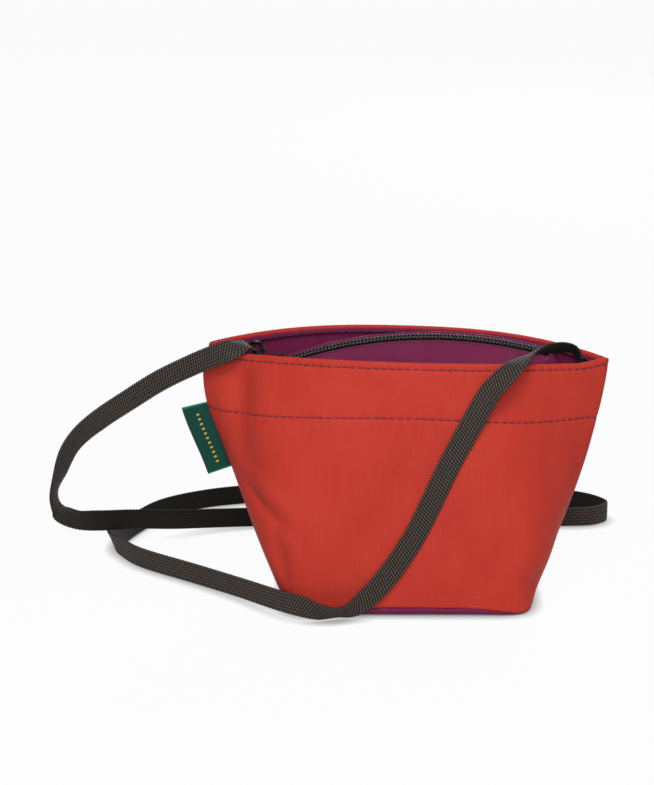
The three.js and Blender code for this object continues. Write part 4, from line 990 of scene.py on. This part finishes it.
def label_sheet(share, out, lift):
    """Points of the label: share up its length, out from the seam, lift off its middle"""
    rise = LABEL_RISE + (share - 0.5) * LABEL_LENGTH / HEIGHT
    seam_place = np.full(rise.shape, -1.0)
    seam = (wall(FRONT, seam_place, rise) + wall(BACK, seam_place, rise)) / 2
    up = unit(wall(FRONT, seam_place, rise + 0.02) - wall(FRONT, seam_place, rise - 0.02))
    outward = unit(np.cross(up, np.array([0.0, 1.0, 0.0])))
    through = unit(np.cross(outward, up))
    bend = LABEL_BEND * out ** 2 * np.sin(share * 2.6 + 0.4) + LABEL_RIPPLE * np.sin(share * 9) * out
    reach = LABEL_TUCK + out * (LABEL_REACH - LABEL_TUCK)
    return seam + outward * reach[..., None] + through * (lift + bend)[..., None], through


def make_label():
    """A folded tab, thinner at its edges"""
    share, out = np.linspace(0, 1, 90), np.linspace(0, 1, 34)
    edge = smooth(0, 0.025, share) * smooth(1, 0.975, share)
    grids = []
    for face in (-1, 1):
        s, o = np.meshgrid(share, out, indexing="ij")
        puff = LABEL_THICKNESS / 2 * (0.55 + 0.45 * edge[:, None]) * (0.6 + 0.4 * smooth(1, 0.93, o))
        grids.append(label_sheet(s, o, face * puff)[0])
    points = np.concatenate([grids[0], grids[1][:, ::-1]], axis=1)
    u = np.concatenate([out, out[::-1]]) * LABEL_REACH
    uv = np.stack(np.broadcast_arrays(u[None, :], share[:, None] * LABEL_LENGTH), -1)
    faces = tube_faces(*points.shape[:2])
    label = make_piece("side_label_weave", points, faces, GREEN_WEAVE, uv, "side_label")


make_label()
mark_shape = tube_shape("mark", MARK_PATH, MARK_RADII, 6)
mark_lines = []
for face in (-1, 1):
    share = np.linspace(*MARK_ENDS, 40)
    lift = np.full(share.shape, face * LABEL_THICKNESS * 0.5)
    line, through = label_sheet(share, np.full(share.shape, 0.5), lift)
    mark_lines.append((line, face * through))
make_row("label_marks", mark_lines, mark_shape, MARK_PITCH, MARK_SIZE, YELLOW_THREAD)
bpy.data.objects.remove(mark_shape)


# Hardware and hidden cloth: the fitted solids with softened edges
def soften(node, name, material, radius, body="shell", cloth=False):
    """A copy of a solid with rounded edges; cloth coordinates run across and up it"""
    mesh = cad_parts[node].data.copy()
    mesh.name = name
    mesh.materials.clear()
    mesh.materials.append(material)
    shell = bmesh.new()
    shell.from_mesh(mesh)
    bmesh.ops.remove_doubles(shell, verts=shell.verts, dist=2e-6)
    bmesh.ops.dissolve_limit(shell, angle_limit=math.radians(1), verts=shell.verts, edges=shell.edges)
    shell.to_mesh(mesh)
    shell.free()
    piece = bpy.data.objects.new(name, mesh)
    scene.collection.objects.link(piece)
    edge = piece.modifiers.new("edge", "BEVEL")
    edge.width, edge.segments, edge.limit_method = radius * MM, 3, "ANGLE"
    edge.angle_limit, edge.use_clamp_overlap = math.radians(35), True
    plain_mesh(piece)
    if cloth:
        points = np.array([v.co for v in piece.data.vertices]) / MM
        lay_cloth(piece.data, points[:, 1:])
    piece.data.shade_smooth()
    return place_piece(piece, body, (node,))


soften("zip_slider", "slider_body", BLACK_METAL, 0.35, "slider")
soften("slider_pull", "slider_pull_tab", BLACK_METAL, 0.3, "pull")
for end in ("left", "right"):
    soften(end + "_end_tab", end + "_end_tab_cloth", PLUM_CLOTH, 0.2, cloth=True)
    soften(end + "_seam_binding", end + "_seam_binding_cloth", PLUM_CLOTH, 0.2, cloth=True)
    soften(end + "_strap_tack", end + "_strap_tack_webbing", STRAP_WEBBING, 0.3, cloth=True)
for stop in ("front_top_stop", "back_top_stop", "zip_bottom_stop"):
    soften(stop, stop + "_crimp", BLACK_METAL, 0.25)


# Studio
def shown(tree):
    """1 for rays that show a surface, to the eye or in a mirror, and 0 for rays that carry its light"""
    share = add(tree, "ShaderNodeLightPath", output="Is Camera Ray")
    rays = share.node.outputs
    for kind in ("Is Glossy Ray", "Is Transmission Ray"):
        share = add(tree, "MAXIMUM", (share, rays[kind]))
    return share


# White paper floor, seen almost as pure white, with a soft shadow where the bag and the strap meet it
FLOOR_REACH, FLOOR_GLOW, CONTACT_REACH = 9, 0.95, 0.007
floor_corners = [(x * FLOOR_REACH, y * FLOOR_REACH, 0) for x, y in ((-1, -1), (1, -1), (1, 1), (-1, 1))]
floor_mesh = bpy.data.meshes.new("floor")
floor_mesh.from_pydata(floor_corners, [], [(0, 1, 2, 3)])
floor = bpy.data.objects.new("floor", floor_mesh)
scene.collection.objects.link(floor)
white, paper = surface("white_paper")
fibre = uneven(paper, add(paper, "ShaderNodeTexCoord", output="Object"), (900.0,) * 3)
tint = add(paper, MIX, {SHARE: fibre, FIRST: "#e6e6e6", SECOND: "#eeeeee"}, MIXED, data_type="RGBA")
plain = finish(paper, tint, 0.9, fibre, 0.02, {"Specular IOR Level": 0.1})
contact = add(paper, "ShaderNodeAmbientOcclusion", {"Distance": CONTACT_REACH}, "Color")
glow = add(paper, "ShaderNodeEmission", {"Color": contact, "Strength": 1.0})
glow_share = add(paper, "MULTIPLY", (shown(paper), FLOOR_GLOW))
mixed = add(paper, "ShaderNodeMixShader", (glow_share, plain.outputs[0], glow))
wire(paper, paper.nodes["Material Output"], {"Surface": mixed})
floor_mesh.materials.append(white)

# White room that shows in full but lights the bag only faintly
ROOM_LIGHT = 0.05
world = bpy.data.worlds.new("studio")
world.use_nodes = True
scene.world = world
room = world.node_tree
level = add(room, "MULTIPLY_ADD", (shown(room), 1 - ROOM_LIGHT, ROOM_LIGHT))
wire(room, room.nodes["Background"], {"Color": (1, 1, 1, 1), "Strength": level})


def area_lamp(name, place, size, power):
    """A square lamp turned towards the middle of the bag"""
    lamp = bpy.data.lights.new(name, "AREA")
    lamp.size, lamp.energy = size, power
    holder = bpy.data.objects.new(name, lamp)
    holder.location = place
    holder.rotation_euler = (LAMP_TARGET - Vector(place)).to_track_quat("-Z", "Y").to_euler()
    scene.collection.objects.link(holder)


LAMP_TARGET = Vector((0, 0, 0.07))
area_lamp("key", (-0.08, -1.65, 0.72), 0.6, 11.5)
area_lamp("top", (0.0, -0.95, 1.35), 0.5, 14.5)
area_lamp("back", (0.45, 1.6, 0.75), 0.9, 9)
